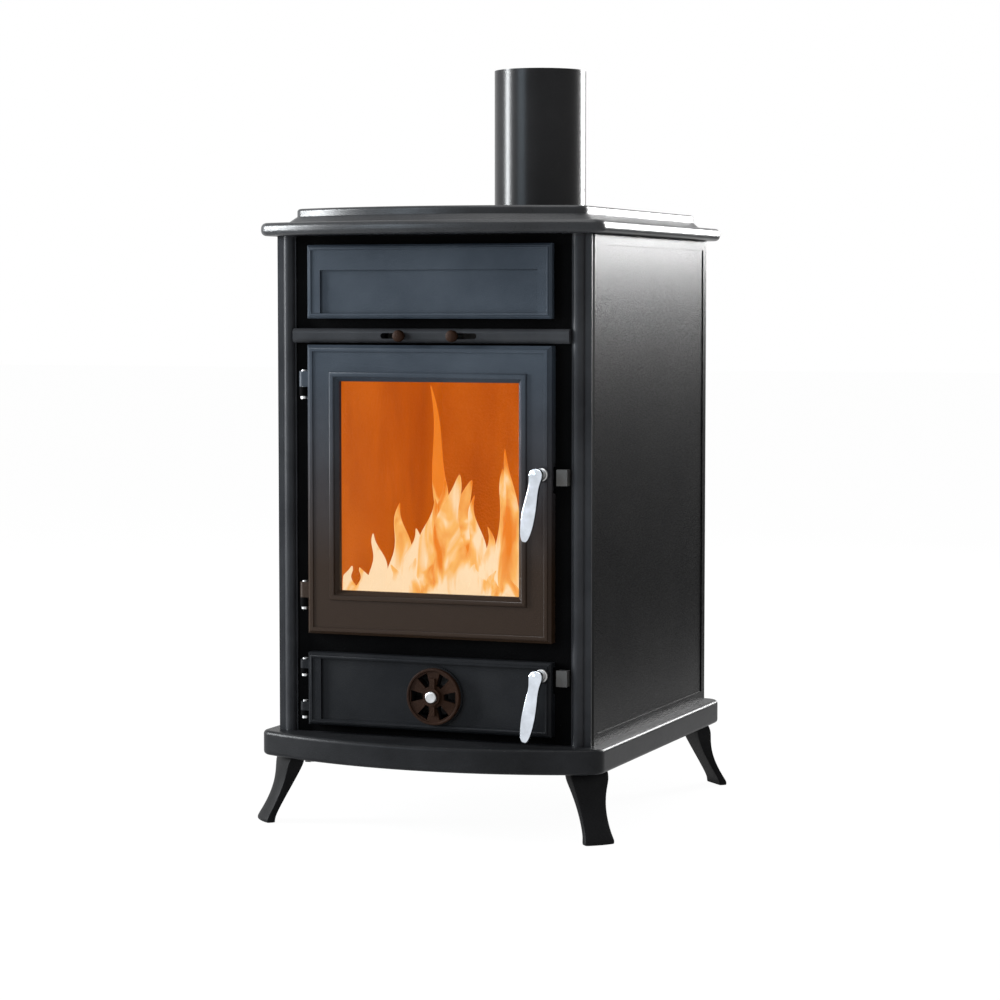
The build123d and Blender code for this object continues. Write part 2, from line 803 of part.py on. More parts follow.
wash_half = 185
wash_sheet = 3
wash_depth = 40
wash_slot = 7
wash_rise = 28  # above the air rail
wash_low = fire_opening_high + 8
wash_high = rail_z + rail_height + wash_rise
with BuildPart() as airwash_box:
    wash_back = frame_thickness + wash_depth
    block((-wash_half, wash_half), (frame_thickness, wash_back), (wash_low, wash_high))
    inside = (-wash_half + wash_sheet, wash_half - wash_sheet)
    floor = wash_low + wash_sheet
    block(inside, (frame_thickness, wash_back - wash_sheet), (floor, wash_high - wash_sheet), Mode.SUBTRACT)
    block(inside, (frame_thickness, frame_thickness + wash_slot), (wash_low, floor), Mode.SUBTRACT)
airwash_box.part.label = "airwash_box"
export_step(airwash_box.part, "parts/airwash_box.step")

# Air slides behind the rail

guide_gap = 0.5
with BuildPart() as air_slide_guides:
    guide_half = air_plate_outer + air_travel + 5
    plate_low = rail_mid - air_plate_height / 2
    plate_high = rail_mid + air_plate_height / 2
    lip_depth = frame_thickness + air_plate_thickness + 2 * touch_gap
    for edge, way in ((plate_high, 1), (plate_low, -1)):
        outer = edge + way * (guide_gap + air_guide)
        spacer = sorted((edge + way * guide_gap, outer))
        lip = sorted((edge - way * 3, outer))
        block((-guide_half, guide_half), (frame_thickness, lip_depth), spacer)
        block((-guide_half, guide_half), (lip_depth, lip_depth + 3), lip)
air_slide_guides.part.label = "air_slide_guides"
export_step(air_slide_guides.part, "parts/air_slide_guides.step")

for name, side in (("left", -1), ("right", 1)):
    knob_x = side * knob_spacing / 2
    plate_front = -frame_thickness - touch_gap
    with BuildPart() as air_knob:
        dowel(knob_x, rail_mid, (plate_front, rail_depth + 1), stem_radius)
        dowel(knob_x, rail_mid, (rail_depth + 1, rail_depth + 1 + knob_length), knob_radius)
        fillet(air_knob.faces().sort_by(Axis.Y)[0].edges(), 3)
    air_knob.part.label = f"{name}_air_knob"
    export_step(air_knob.part, f"parts/{name}_air_knob.step")
    with BuildPart() as air_plate:
        for ends, height, mode in (
            ((air_plate_inner, air_plate_outer), air_plate_height, Mode.ADD),
            (air_window, air_window_height, Mode.SUBTRACT),
        ):
            block(
                sorted((side * ends[0], side * ends[1])),
                (-plate_front, air_plate_thickness - plate_front),
                (rail_mid - height / 2, rail_mid + height / 2),
                mode,
            )
    air_plate.part.label = f"{name}_air_plate"
    export_step(air_plate.part, f"parts/{name}_air_plate.step")


# Doors

def door_hinges(rows):
    """Knuckles at the door's left edge, each over its lug on the frame."""
    for z, lug, knuckle in rows:
        span = (z + lug + touch_gap, z + lug + knuckle)
        post(hinge_x, -hinge_depth, span, knuckle_radius)
        depth = (-hinge_depth - knuckle_radius, -hinge_depth + knuckle_radius)
        block((hinge_x, -door_half + 1), depth, span)
        post(hinge_x, -hinge_depth, span, pin_radius + running, Mode.SUBTRACT)


def door_latch_side(latch_z):
    """Boss and hole for the spindle, and the gap in the rim that the tongue swings through."""
    dowel(latch_x, latch_z, (door_back, door_face + boss_height), lever_boss)
    dowel(latch_x, latch_z, (0, door_face + boss_height), spindle_radius + running, Mode.SUBTRACT)
    swing = (latch_z - tongue_length - 3, latch_z + tongue_hub + 3)
    block((latch_x, door_half), (-door_back, 0), swing, Mode.SUBTRACT)


glass_half = window_half + glass_overlap
glass_low = window_low - glass_overlap
glass_high = window_high + glass_overlap
clip_middle = (glass_low + glass_high) / 2
clip_spread = (glass_high - glass_low) / 4
clip_foot_end = clip_gap + clip_foot
clip_screw_out = clip_gap + clip_foot / 2
clip_screw_grip = 6
side_clips = [(side, clip_middle + lift) for side in (-1, 1) for lift in (-clip_spread, clip_spread)]
end_clips = [(glass_high, 1), (glass_low, -1)]
clip_screws = [(side * (glass_half + clip_screw_out), z) for side, z in side_clips]
clip_screws += [(0, edge + way * clip_screw_out) for edge, way in end_clips]

with BuildPart() as fire_door_frame:
    fire_top = fire_z + fire_door_height
    extrude(plate(at_front(door_back), door_half, fire_z, fire_top), amount=door_plate)
    chamfer(fire_door_frame.faces().sort_by(Axis.Y)[0].edges(), 4)
    extrude(
        plate(at_front(door_back), window_half, window_low, window_high),
        amount=door_plate,
        mode=Mode.SUBTRACT,
    )
    inner = fire_door_frame.faces().sort_by(Axis.Y)[0].inner_wires()[0].edges()
    chamfer(inner, 5)
    extrude(
        frame_ring(at_front(door_clearance), door_half, fire_z, fire_top, skirt),
        amount=door_back - door_clearance,
    )
    extrude(
        frame_ring(
            at_front(door_back),
            door_half - seal_inset,
            fire_z + seal_inset_end,
            fire_top - seal_inset_end,
            seal_width,
        ),
        amount=seal_groove,
        mode=Mode.SUBTRACT,
    )
    for x, z in clip_screws:
        dowel(x, z, (door_back, door_back + clip_screw_grip), screw_radius + seated, Mode.SUBTRACT)
    door_hinges(fire_hinges)
    door_latch_side(fire_latch_z)
fire_door_frame.part.label = "fire_door_frame"
export_step(fire_door_frame.part, "parts/fire_door_frame.step")

with BuildPart() as fire_door_seal:
    extrude(
        frame_ring(
            at_front(touch_gap),
            door_half - seal_inset,
            fire_z + seal_inset_end,
            fire_top - seal_inset_end,
            seal_width,
        ),
        amount=door_back + seal_groove - touch_gap,
    )
fire_door_seal.part.label = "fire_door_seal"
export_step(fire_door_seal.part, "parts/fire_door_seal.step")

gasket_back = door_back - gasket_thickness
glass_back = gasket_back - glass_thickness
clip_head = glass_back - clip_thickness
with BuildPart() as glass_gasket:
    extrude(
        frame_ring(at_front(gasket_back), glass_half, glass_low, glass_high, glass_overlap),
        amount=gasket_thickness,
    )
glass_gasket.part.label = "glass_gasket"
export_step(glass_gasket.part, "parts/glass_gasket.step")

with BuildPart() as door_glass:
    extrude(plate(at_front(glass_back), glass_half, glass_low, glass_high), amount=glass_thickness)
door_glass.part.label = "door_glass"
export_step(door_glass.part, "parts/door_glass.step")

with BuildPart() as glass_clips:
    for side, z in side_clips:
        edge = side * glass_half
        outer = edge + side * clip_foot_end
        span = (z - clip_length / 2, z + clip_length / 2)
        block(sorted((edge - side * clip_reach, outer)), (-glass_back, -clip_head), span)
        block(sorted((edge + side * clip_gap, outer)), (-door_back, -glass_back), span)
    for edge, way in end_clips:
        outer = edge + way * clip_foot_end
        span = (-clip_length / 2, clip_length / 2)
        block(span, (-glass_back, -clip_head), sorted((edge - way * clip_reach, outer)))
        block(span, (-door_back, -glass_back), sorted((edge + way * clip_gap, outer)))
    for x, z in clip_screws:
        dowel(x, z, (clip_head, door_back), screw_radius + seated, Mode.SUBTRACT)
glass_clips.part.label = "glass_clips"
export_step(glass_clips.part, "parts/glass_clips.step")

with BuildPart() as glass_clip_screws:
    for x, z in clip_screws:
        dowel(x, z, (clip_head, door_back + clip_screw_grip), screw_radius)
        dowel(x, z, (clip_head - 2, clip_head), screw_head)
glass_clip_screws.part.label = "glass_clip_screws"
export_step(glass_clip_screws.part, "parts/glass_clip_screws.step")

# Ash door with its rotary air damper

ash_field_side = 22
ash_field_end = 9
ash_field_depth = 4
slot_pitch = 60
slot_spread = 28
damper_back = door_face + touch_gap
damper_front = damper_back + rosette_thickness
hub_front = damper_back + rosette_hub_height


def at_damper(sketch_plane):
    """The damper's centre on an elevation plane."""
    return sketch_plane.shift_origin(sketch_plane.from_local_coords((rosette_offset, rosette_z)))


def air_ring(proud, depth):
    """Cut the ring of radial air slots."""
    edge = rosette_ring / cos(radians(slot_spread / 2))
    rise = edge * sin(radians(slot_spread / 2))
    with BuildSketch(at_damper(at_front(proud))) as ring:
        with PolarLocations(0, 360 // slot_pitch):
            Polygon((0, 0), (rosette_ring, -rise), (rosette_ring, rise), align=None)
        Circle(rosette_core, mode=Mode.SUBTRACT)
    extrude(ring.sketch, amount=-depth, mode=Mode.SUBTRACT)


with BuildPart() as ash_door_panel:
    ash_top = ash_z + ash_door_height
    extrude(plate(at_front(door_back), door_half, ash_z, ash_top), amount=door_plate)
    chamfer(ash_door_panel.faces().sort_by(Axis.Y)[0].edges(), 3)
    extrude(
        plate(
            at_front(door_face),
            door_half - ash_field_side,
            ash_z + ash_field_end,
            ash_top - ash_field_end,
        ),
        amount=-ash_field_depth,
        mode=Mode.SUBTRACT,
    )
    dowel(rosette_offset, rosette_z, (door_back, door_face), rosette_seat)
    extrude(
        frame_ring(at_front(door_clearance), door_half, ash_z, ash_top, skirt),
        amount=door_back - door_clearance,
    )
    extrude(
        frame_ring(
            at_front(door_back),
            door_half - seal_inset,
            ash_z + ash_seal_inset_end,
            ash_top - ash_seal_inset_end,
            ash_seal_width,
        ),
        amount=seal_groove,
        mode=Mode.SUBTRACT,
    )
    air_ring(door_face, door_plate)
    dowel(rosette_offset, rosette_z, (door_back, door_face), stud_radius + seated, Mode.SUBTRACT)
    door_hinges(ash_hinges)
    door_latch_side(ash_latch_z)
ash_door_panel.part.label = "ash_door_panel"
export_step(ash_door_panel.part, "parts/ash_door_panel.step")

with BuildPart() as ash_door_seal:
    extrude(
        frame_ring(
            at_front(touch_gap),
            door_half - seal_inset,
            ash_z + ash_seal_inset_end,
            ash_z + ash_door_height - ash_seal_inset_end,
            ash_seal_width,
        ),
        amount=door_back + seal_groove - touch_gap,
    )
ash_door_seal.part.label = "ash_door_seal"
export_step(ash_door_seal.part, "parts/ash_door_seal.step")

with BuildPart() as air_rosette:
    dowel(rosette_offset, rosette_z, (damper_back, damper_front), rosette_radius)
    air_ring(damper_front, rosette_thickness)
    dowel(rosette_offset, rosette_z, (damper_front, hub_front), rosette_hub)
    with BuildSketch(at_damper(at_front(damper_front))) as grip:
        Rectangle(8, 2 * rosette_rib)
    extrude(grip.sketch, amount=rosette_hub_height - rosette_thickness - 2)
    dowel(rosette_offset, rosette_z, (damper_back, hub_front), stud_radius + running, Mode.SUBTRACT)
air_rosette.part.label = "air_rosette"
export_step(air_rosette.part, "parts/air_rosette.step")

with BuildPart() as rosette_stud:
    head_back = hub_front + touch_gap
    dowel(rosette_offset, rosette_z, (door_back - nut_height + 2, head_back), stud_radius)
    dowel(rosette_offset, rosette_z, (head_back, head_back + 4), stud_head)
    fillet(rosette_stud.faces().sort_by(Axis.Y)[0].edges(), 2)
    with BuildSketch(at_damper(at_front(door_back))) as nut:
        RegularPolygon(nut_radius, 6)
    extrude(nut.sketch, amount=2 - nut_height)
rosette_stud.part.label = "rosette_stud"
export_step(rosette_stud.part, "parts/rosette_stud.step")

# Door handles with their latch tongues

lever_socket = lever_back + lever_thickness - 3
spindle_end = tongue_back - 1

for name, latch_z in (("fire", fire_latch_z), ("ash", ash_latch_z)):
    with BuildPart() as spindle:
        dowel(latch_x, latch_z, (spindle_end, lever_socket), spindle_radius)
    spindle.part.label = f"{name}_handle_spindle"
    export_step(spindle.part, f"parts/{name}_handle_spindle.step")

    lever_plane = Plane(
        origin=(latch_x, front_y - lever_back, latch_z),
        x_dir=(-sin(radians(lever_lean)), 0, -cos(radians(lever_lean))),
        z_dir=(0, -1, 0),
    )
    with BuildPart() as lever:
        with BuildSketch(lever_plane):
            Circle(lever_boss)
            Polygon(
                (0, lever_neck),
                (0, -lever_neck),
                (lever_length, -lever_end),
                (lever_length, lever_end),
                align=None,
            )
            with Locations((lever_length, 0)):
                Circle(lever_end)
        extrude(amount=lever_thickness)
        fillet(lever.faces().sort_by(Axis.Y)[0].edges(), 3)
        dowel(latch_x, latch_z, (lever_back, lever_socket), spindle_radius + seated, Mode.SUBTRACT)
    lever.part.label = f"{name}_handle_lever"
    export_step(lever.part, f"parts/{name}_handle_lever.step")

    with BuildPart() as tongue:
        with BuildSketch(at_front(tongue_back)) as outline:
            with Locations((latch_x, latch_z)):
                Circle(tongue_hub)
            with Locations((latch_x, latch_z - tongue_length / 2)):
                Rectangle(2 * tongue_half, tongue_length)
        extrude(outline.sketch, amount=tongue_thickness)
        proud = (tongue_back, tongue_back + tongue_thickness)
        dowel(latch_x, latch_z, proud, spindle_radius + seated, Mode.SUBTRACT)
    tongue.part.label = f"{name}_latch_tongue"
    export_step(tongue.part, f"parts/{name}_latch_tongue.step")
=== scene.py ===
import random
from math import cos, radians, sin, sqrt
import bmesh
import bpy
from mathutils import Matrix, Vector


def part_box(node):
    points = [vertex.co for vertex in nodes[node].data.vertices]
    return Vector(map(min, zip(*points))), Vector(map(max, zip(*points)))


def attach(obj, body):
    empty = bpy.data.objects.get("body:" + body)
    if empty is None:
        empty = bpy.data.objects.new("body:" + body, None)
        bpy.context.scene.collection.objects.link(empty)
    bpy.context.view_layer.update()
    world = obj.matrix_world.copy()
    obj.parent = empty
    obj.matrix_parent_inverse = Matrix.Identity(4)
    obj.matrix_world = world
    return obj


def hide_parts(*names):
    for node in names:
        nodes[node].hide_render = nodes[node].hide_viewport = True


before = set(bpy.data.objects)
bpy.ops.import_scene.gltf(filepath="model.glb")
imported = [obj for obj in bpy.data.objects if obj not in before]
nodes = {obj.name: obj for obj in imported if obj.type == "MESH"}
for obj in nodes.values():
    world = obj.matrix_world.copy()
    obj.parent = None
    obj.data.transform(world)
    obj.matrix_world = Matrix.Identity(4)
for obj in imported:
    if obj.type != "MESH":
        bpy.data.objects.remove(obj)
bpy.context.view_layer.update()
print("frame loaded:", len(nodes), "nodes")


# Small helpers for modelling by hand

def clearSelection():
    if bpy.context.object and bpy.context.object.mode != "OBJECT":
        bpy.ops.object.mode_set(mode="OBJECT")
    bpy.ops.object.select_all(action="DESELECT")


def namePiece(name):
    piece = bpy.context.object
    piece.name = name
    piece.data.name = name
    return piece


def startBox(name, low, high):
    clearSelection()
    low, high = Vector(low), Vector(high)
    bpy.ops.mesh.primitive_cube_add(size=1, location=(low + high) / 2)
    piece = namePiece(name)
    piece.scale = high - low
    bpy.ops.object.transform_apply(location=True, rotation=True, scale=True)
    return piece


def startDisc(name, centre, radius, sides, facing="front"):
    clearSelection()
    turn = (radians(90), 0, 0) if facing == "front" else (0, 0, 0)
    bpy.ops.mesh.primitive_circle_add(
        vertices=sides, radius=radius, fill_type="NGON", location=centre, rotation=turn
    )
    piece = namePiece(name)
    bpy.ops.object.transform_apply(location=True, rotation=True, scale=True)
    return piece


def editPiece(piece, kind="FACE"):
    bpy.context.view_layer.objects.active = piece
    bpy.ops.object.mode_set(mode="EDIT")
    bpy.ops.mesh.select_mode(type=kind)
    bpy.ops.mesh.select_all(action="DESELECT")


def pickFaces(piece, test):
    mesh = bmesh.from_edit_mesh(piece.data)
    for face in mesh.faces:
        face.select_set(False)
    for face in mesh.faces:
        if test(face):
            face.select_set(True)
    bmesh.update_edit_mesh(piece.data)


def pickEdges(piece, test):
    mesh = bmesh.from_edit_mesh(piece.data)
    for edge in mesh.edges:
        edge.select_set(False)
    for edge in mesh.edges:
        if test(edge):
            edge.select_set(True)
    bmesh.update_edit_mesh(piece.data)


def selectedMiddle(piece):
    mesh = bmesh.from_edit_mesh(piece.data)
    chosen = [v.co for v in mesh.verts if v.select]
    return sum(chosen, Vector()) / len(chosen)


def growFace(piece, steps):
    # each step is (move, scale) for the selected face
    for move, scale in steps:
        bpy.ops.mesh.extrude_region_move(TRANSFORM_OT_translate={"value": move})
        if scale != (1, 1, 1):
            bpy.ops.transform.resize(value=scale, center_override=selectedMiddle(piece))


def addModifier(piece, kind, **values):
    modifier = piece.modifiers.new(kind.title(), kind)
    for key, value in values.items():
        setattr(modifier, key, value)
    return modifier


def settlePiece(piece, material, body, smoothAngle=40):
    # applies what is live, then hands the piece to its body
    clearSelection()
    piece.select_set(True)
    bpy.context.view_layer.objects.active = piece
    for modifier in list(piece.modifiers):
        bpy.ops.object.modifier_apply(modifier=modifier.name)
    bpy.ops.object.transform_apply(location=True, rotation=True, scale=True)
    bpy.ops.object.mode_set(mode="EDIT")
    bpy.ops.mesh.select_all(action="SELECT")
    bpy.ops.mesh.normals_make_consistent(inside=False)
    bpy.ops.object.mode_set(mode="OBJECT")
    bpy.ops.object.shade_smooth_by_angle(angle=radians(smoothAngle))
    piece.data.materials.clear()
    piece.data.materials.append(material)
    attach(piece, body)
    return piece


# Shader groups shared by the finishes

def newGroup(name, inputs, outputs):
    group = bpy.data.node_groups.new(name, "ShaderNodeTree")
    for title, kind, value in inputs:
        socket = group.interface.new_socket(name=title, in_out="INPUT", socket_type=kind)
        socket.default_value = value
    for title, kind in outputs:
        group.interface.new_socket(name=title, in_out="OUTPUT", socket_type=kind)
    start = group.nodes.new("NodeGroupInput")
    end = group.nodes.new("NodeGroupOutput")
    return group, start, end


def addNode(tree, kind, links=None, **values):
    node = tree.nodes.new(kind)
    for key, value in values.items():
        setattr(node, key, value)
    for socket, source in (links or {}).items():
        if hasattr(source, "links"):
            tree.links.new(source, node.inputs[socket])
        else:
            node.inputs[socket].default_value = source
    return node


def rampNode(tree, source, stops):
    ramp = addNode(tree, "ShaderNodeValToRGB", {"Fac": source})
    ramp.color_ramp.elements[0].position = stops[0][0]
    ramp.color_ramp.elements[0].color = (*stops[0][1], 1)
    ramp.color_ramp.elements[1].position = stops[-1][0]
    ramp.color_ramp.elements[1].color = (*stops[-1][1], 1)
    for place, colour in stops[1:-1]:
        element = ramp.color_ramp.elements.new(place)
        element.color = (*colour, 1)
    return ramp


def makeCastGrain():
    # sand-cast skin: pits, soft waves and a change of tone from place to place
    group, start, end = newGroup(
        "castGrain",
        [
            ("Tone", "NodeSocketColor", (0.02, 0.02, 0.022, 1)),
            ("Worn Tone", "NodeSocketColor", (0.05, 0.05, 0.052, 1)),
            ("Grain Size", "NodeSocketFloat", 420.0),
            ("Grain Depth", "NodeSocketFloat", 0.25),
            ("Smoothness", "NodeSocketFloat", 0.45),
        ],
        [("Color", "NodeSocketColor"), ("Roughness", "NodeSocketFloat"), ("Normal", "NodeSocketVector")],
    )
    place = addNode(group, "ShaderNodeTexCoord").outputs["Object"]
    fine = addNode(
        group,
        "ShaderNodeTexNoise",
        {"Vector": place, "Scale": start.outputs["Grain Size"], "Detail": 3.0, "Roughness": 0.6},
    )
    pits = addNode(group, "ShaderNodeTexVoronoi", {"Vector": place, "Scale": start.outputs["Grain Size"]})
    broad = addNode(
        group, "ShaderNodeTexNoise", {"Vector": place, "Scale": 9.0, "Detail": 5.0, "Roughness": 0.6}
    )
    height = addNode(
        group, "ShaderNodeMath", {0: fine.outputs["Fac"], 1: pits.outputs["Distance"]}, operation="ADD"
    )
    bump = addNode(
        group,
        "ShaderNodeBump",
        {"Height": height.outputs[0], "Strength": start.outputs["Grain Depth"], "Distance": 0.0006},
    )
    patch = addNode(
        group,
        "ShaderNodeMapRange",
        {"Value": broad.outputs["Fac"], "From Min": 0.35, "From Max": 0.75, "To Min": 0.0, "To Max": 1.0},
    )
    mix = addNode(group, "ShaderNodeMix", data_type="RGBA")
    group.links.new(patch.outputs[0], mix.inputs[0])
    group.links.new(start.outputs["Tone"], mix.inputs[6])
    group.links.new(start.outputs["Worn Tone"], mix.inputs[7])
    sheen = addNode(
        group,
        "ShaderNodeMapRange",
        {"Value": fine.outputs["Fac"], "From Min": 0.2, "From Max": 0.8, "To Min": -0.06, "To Max": 0.06},
    )
    rough = addNode(
        group, "ShaderNodeMath", {0: start.outputs["Smoothness"], 1: sheen.outputs[0]}, operation="ADD"
    )
    group.links.new(mix.outputs[2], end.inputs["Color"])
    group.links.new(rough.outputs[0], end.inputs["Roughness"])
    group.links.new(bump.outputs[0], end.inputs["Normal"])
    return group


def makeFineScratches():
    # brushed and handled metal: fine lines along one axis, with smudges
    group, start, end = newGroup(
        "fineScratches",
        [
            ("Stretch", "NodeSocketVector", (900.0, 900.0, 40.0)),
            ("Depth", "NodeSocketFloat", 0.1),
            ("Low Roughness", "NodeSocketFloat", 0.12),
            ("High Roughness", "NodeSocketFloat", 0.28),
        ],
        [("Mask", "NodeSocketFloat"), ("Roughness", "NodeSocketFloat"), ("Normal", "NodeSocketVector")],
    )
    place = addNode(group, "ShaderNodeTexCoord").outputs["Object"]
    longLines = addNode(group, "ShaderNodeMapping")
    group.links.new(place, longLines.inputs["Vector"])
    group.links.new(start.outputs["Stretch"], longLines.inputs["Scale"])
    lines = addNode(
        group, "ShaderNodeTexNoise", {"Vector": longLines.outputs[0], "Scale": 1.0, "Detail": 2.0}
    )
    smudge = addNode(group, "ShaderNodeTexNoise", {"Vector": place, "Scale": 60.0, "Detail": 4.0})
    bump = addNode(
        group,
        "ShaderNodeBump",
        {"Height": lines.outputs["Fac"], "Strength": start.outputs["Depth"], "Distance": 0.0003},
    )
    rough = addNode(
        group, "ShaderNodeMapRange", {"Value": smudge.outputs["Fac"], "From Min": 0.3, "From Max": 0.7}
    )
    group.links.new(start.outputs["Low Roughness"], rough.inputs["To Min"])
    group.links.new(start.outputs["High Roughness"], rough.inputs["To Max"])
    group.links.new(smudge.outputs["Fac"], end.inputs["Mask"])
    group.links.new(rough.outputs[0], end.inputs["Roughness"])
    group.links.new(bump.outputs[0], end.inputs["Normal"])
    return group


castGrain = makeCastGrain()
fineScratches = makeFineScratches()
print("shader groups ready")


# Finishes

def newMaterial(name, **values):
    material = bpy.data.materials.new(name)
    material.use_nodes = True
    tree = material.node_tree
    shader = tree.nodes["Principled BSDF"]
    for socket, value in values.items():
        shader.inputs[socket.replace("_", " ")].default_value = value
    return material, tree, shader


def useGroup(tree, group, **values):
    node = tree.nodes.new("ShaderNodeGroup")
    node.node_tree = group
    for socket, value in values.items():
        node.inputs[socket.replace("_", " ")].default_value = value
    return node


def castFinish(name):
    tone, worn, grain, depth, smoothness, ior = castLooks[name]
    material, tree, shader = newMaterial(name, IOR=ior)
    skin = useGroup(
        tree,
        castGrain,
        Tone=(*tone, 1),
        Worn_Tone=(*worn, 1),
        Grain_Size=grain,
        Grain_Depth=depth,
        Smoothness=smoothness,
    )
    tree.links.new(skin.outputs["Color"], shader.inputs["Base Color"])
    tree.links.new(skin.outputs["Roughness"], shader.inputs["Roughness"])
    tree.links.new(skin.outputs["Normal"], shader.inputs["Normal"])
    return material


def metalFinish(name, tone, stretch, depth, low, high):
    material, tree, shader = newMaterial(name, Metallic=1.0)
    skin = useGroup(
        tree, fineScratches, Stretch=stretch, Depth=depth, Low_Roughness=low, High_Roughness=high
    )
    shade = rampNode(tree, skin.outputs["Mask"], [(0.3, tuple(0.8 * c for c in tone)), (0.7, tone)])
    tree.links.new(shade.outputs["Color"], shader.inputs["Base Color"])
    tree.links.new(skin.outputs["Roughness"], shader.inputs["Roughness"])
    tree.links.new(skin.outputs["Normal"], shader.inputs["Normal"])
    return material


def paintWarmReflection(material, tone, low, high):
    # painted warm reflection: the paint turns brown towards the bottom, standing for warm light reflected
    # low down
    tree = material.node_tree
    shader = tree.nodes["Principled BSDF"]
    paint = shader.inputs["Base Color"].links[0].from_socket
    place = addNode(tree, "ShaderNodeTexCoord").outputs["Object"]
    split = addNode(tree, "ShaderNodeSeparateXYZ", {"Vector": place})
    warmFade = addNode(
        tree, "ShaderNodeMapRange", {"Value": split.outputs["Z"], "From Min": low, "From Max": high}
    )
    mix = addNode(tree, "ShaderNodeMix", data_type="RGBA")
    tree.links.new(warmFade.outputs[0], mix.inputs[0])
    mix.inputs[6].default_value = (*tone, 1)
    tree.links.new(paint, mix.inputs[7])
    tree.links.new(mix.outputs[2], shader.inputs["Base Color"])


# one black stove paint in lit and shaded copies: each part's tone is set lighter or darker for the light
# and shade that fall on it, which is painted light and shade
castLooks = {
    # fresh tone, worn tone, grain per metre, grain depth, roughness, index of refraction
    # doors: the lightest tone and bluish, a painted bluish sheen
    "doorLitPaint": ((0.014, 0.019, 0.026), (0.026, 0.033, 0.042), 520, 0.22, 0.42, 1.2),
    # ash door: darker than the door above, painted shade low down
    "ashShadedPaint": ((0.004, 0.0045, 0.0055), (0.009, 0.0095, 0.0105), 520, 0.22, 0.45, 1.15),
    # frame: near black, painted shade in the recesses and gaps round the doors
    "frameShadedPaint": ((0.0012, 0.0012, 0.0013), (0.0025, 0.0025, 0.0026), 480, 0.3, 0.6, 1.05),
    "basePaint": ((0.006, 0.0062, 0.0068), (0.012, 0.0124, 0.0135), 460, 0.2, 0.34, 1.15),
    "legPaint": ((0.0028, 0.0028, 0.003), (0.006, 0.006, 0.0064), 460, 0.3, 0.5, 1.12),
    "topPaint": ((0.011, 0.0115, 0.0125), (0.02, 0.021, 0.023), 460, 0.2, 0.3, 1.3),
    "sidePaint": ((0.004, 0.004, 0.0042), (0.007, 0.007, 0.007), 620, 0.1, 0.27, 1.1),
    "postPaint": ((0.012, 0.0125, 0.014), (0.024, 0.025, 0.027), 620, 0.12, 0.34, 1.15),
    "pipePaint": ((0.006, 0.006, 0.0065), (0.01, 0.01, 0.0105), 700, 0.06, 0.24, 1.22),
    "damperIron": ((0.009, 0.004, 0.0022), (0.02, 0.009, 0.005), 380, 0.4, 0.55, 1.12),
    "innerSteel": ((0.03, 0.03, 0.03), (0.07, 0.066, 0.06), 300, 0.2, 0.5, 1.45),
    "sootIron": ((0.02, 0.016, 0.012), (0.07, 0.05, 0.035), 260, 0.6, 0.7, 1.4),
}
# painted reflection of warm light, low on the doors
warmReflectionTint = {
    "tone": (0.014, 0.0075, 0.004),
    "from": 0.40,  # heights between which the painted warm reflection fades into the plain paint
    "to": 0.70,
}

doorLitPaint = castFinish("doorLitPaint")
paintWarmReflection(doorLitPaint, warmReflectionTint["tone"], warmReflectionTint["from"], warmReflectionTint["to"])
ashShadedPaint = castFinish("ashShadedPaint")
frameShadedPaint = castFinish("frameShadedPaint")
basePaint = castFinish("basePaint")
legPaint = castFinish("legPaint")
topPaint = castFinish("topPaint")
sidePaint = castFinish("sidePaint")
postPaint = castFinish("postPaint")
pipePaint = castFinish("pipePaint")
damperIron = castFinish("damperIron")
innerSteel = castFinish("innerSteel")
sootIron = castFinish("sootIron")
zincFastener = metalFinish("zincFastener", (0.5, 0.5, 0.5), (500, 500, 500), 0.15, 0.3, 0.5)
handleChrome = metalFinish("handleChrome", (0.72, 0.77, 0.84), (300, 300, 60), 0.05, 0.1, 0.2)


def makeGlass():
    material, tree, shader = newMaterial("stoveGlass", IOR=1.1)
    shader.inputs["Transmission Weight"].default_value = 1.0
    place = addNode(tree, "ShaderNodeTexCoord").outputs["Object"]
    haze = addNode(
        tree, "ShaderNodeTexNoise", {"Vector": place, "Scale": 14.0, "Detail": 6.0, "Roughness": 0.65}
    )
    tint = rampNode(tree, haze.outputs["Fac"], [(0.3, (1.0, 0.98, 0.95)), (0.75, (0.95, 0.89, 0.8))])
    tree.links.new(tint.outputs["Color"], shader.inputs["Base Color"])
    rough = addNode(
        tree,
        "ShaderNodeMapRange",
        {"Value": haze.outputs["Fac"], "From Min": 0.35, "From Max": 0.8, "To Min": 0.0, "To Max": 0.06},
    )
    tree.links.new(rough.outputs[0], shader.inputs["Roughness"])
    return material


def makeRope():
    material, tree, shader = newMaterial("ropeSeal", Roughness=0.95)
    place = addNode(tree, "ShaderNodeTexCoord").outputs["Object"]
    twist = addNode(
        tree, "ShaderNodeTexWave", {"Vector": place, "Scale": 110.0, "Distortion": 3.0, "Detail": 2.0}
    )
    weave = addNode(tree, "ShaderNodeTexVoronoi", {"Vector": place, "Scale": 520.0})
    height = addNode(
        tree, "ShaderNodeMath", {0: twist.outputs["Fac"], 1: weave.outputs["Distance"]}, operation="ADD"
    )
    shade = rampNode(tree, height.outputs[0], [(0.2, (0.016, 0.009, 0.005)), (0.9, (0.06, 0.034, 0.02))])
    bump = addNode(
        tree, "ShaderNodeBump", {"Height": height.outputs[0], "Strength": 0.7, "Distance": 0.001}
    )
    tree.links.new(shade.outputs["Color"], shader.inputs["Base Color"])
    tree.links.new(bump.outputs[0], shader.inputs["Normal"])
    return material


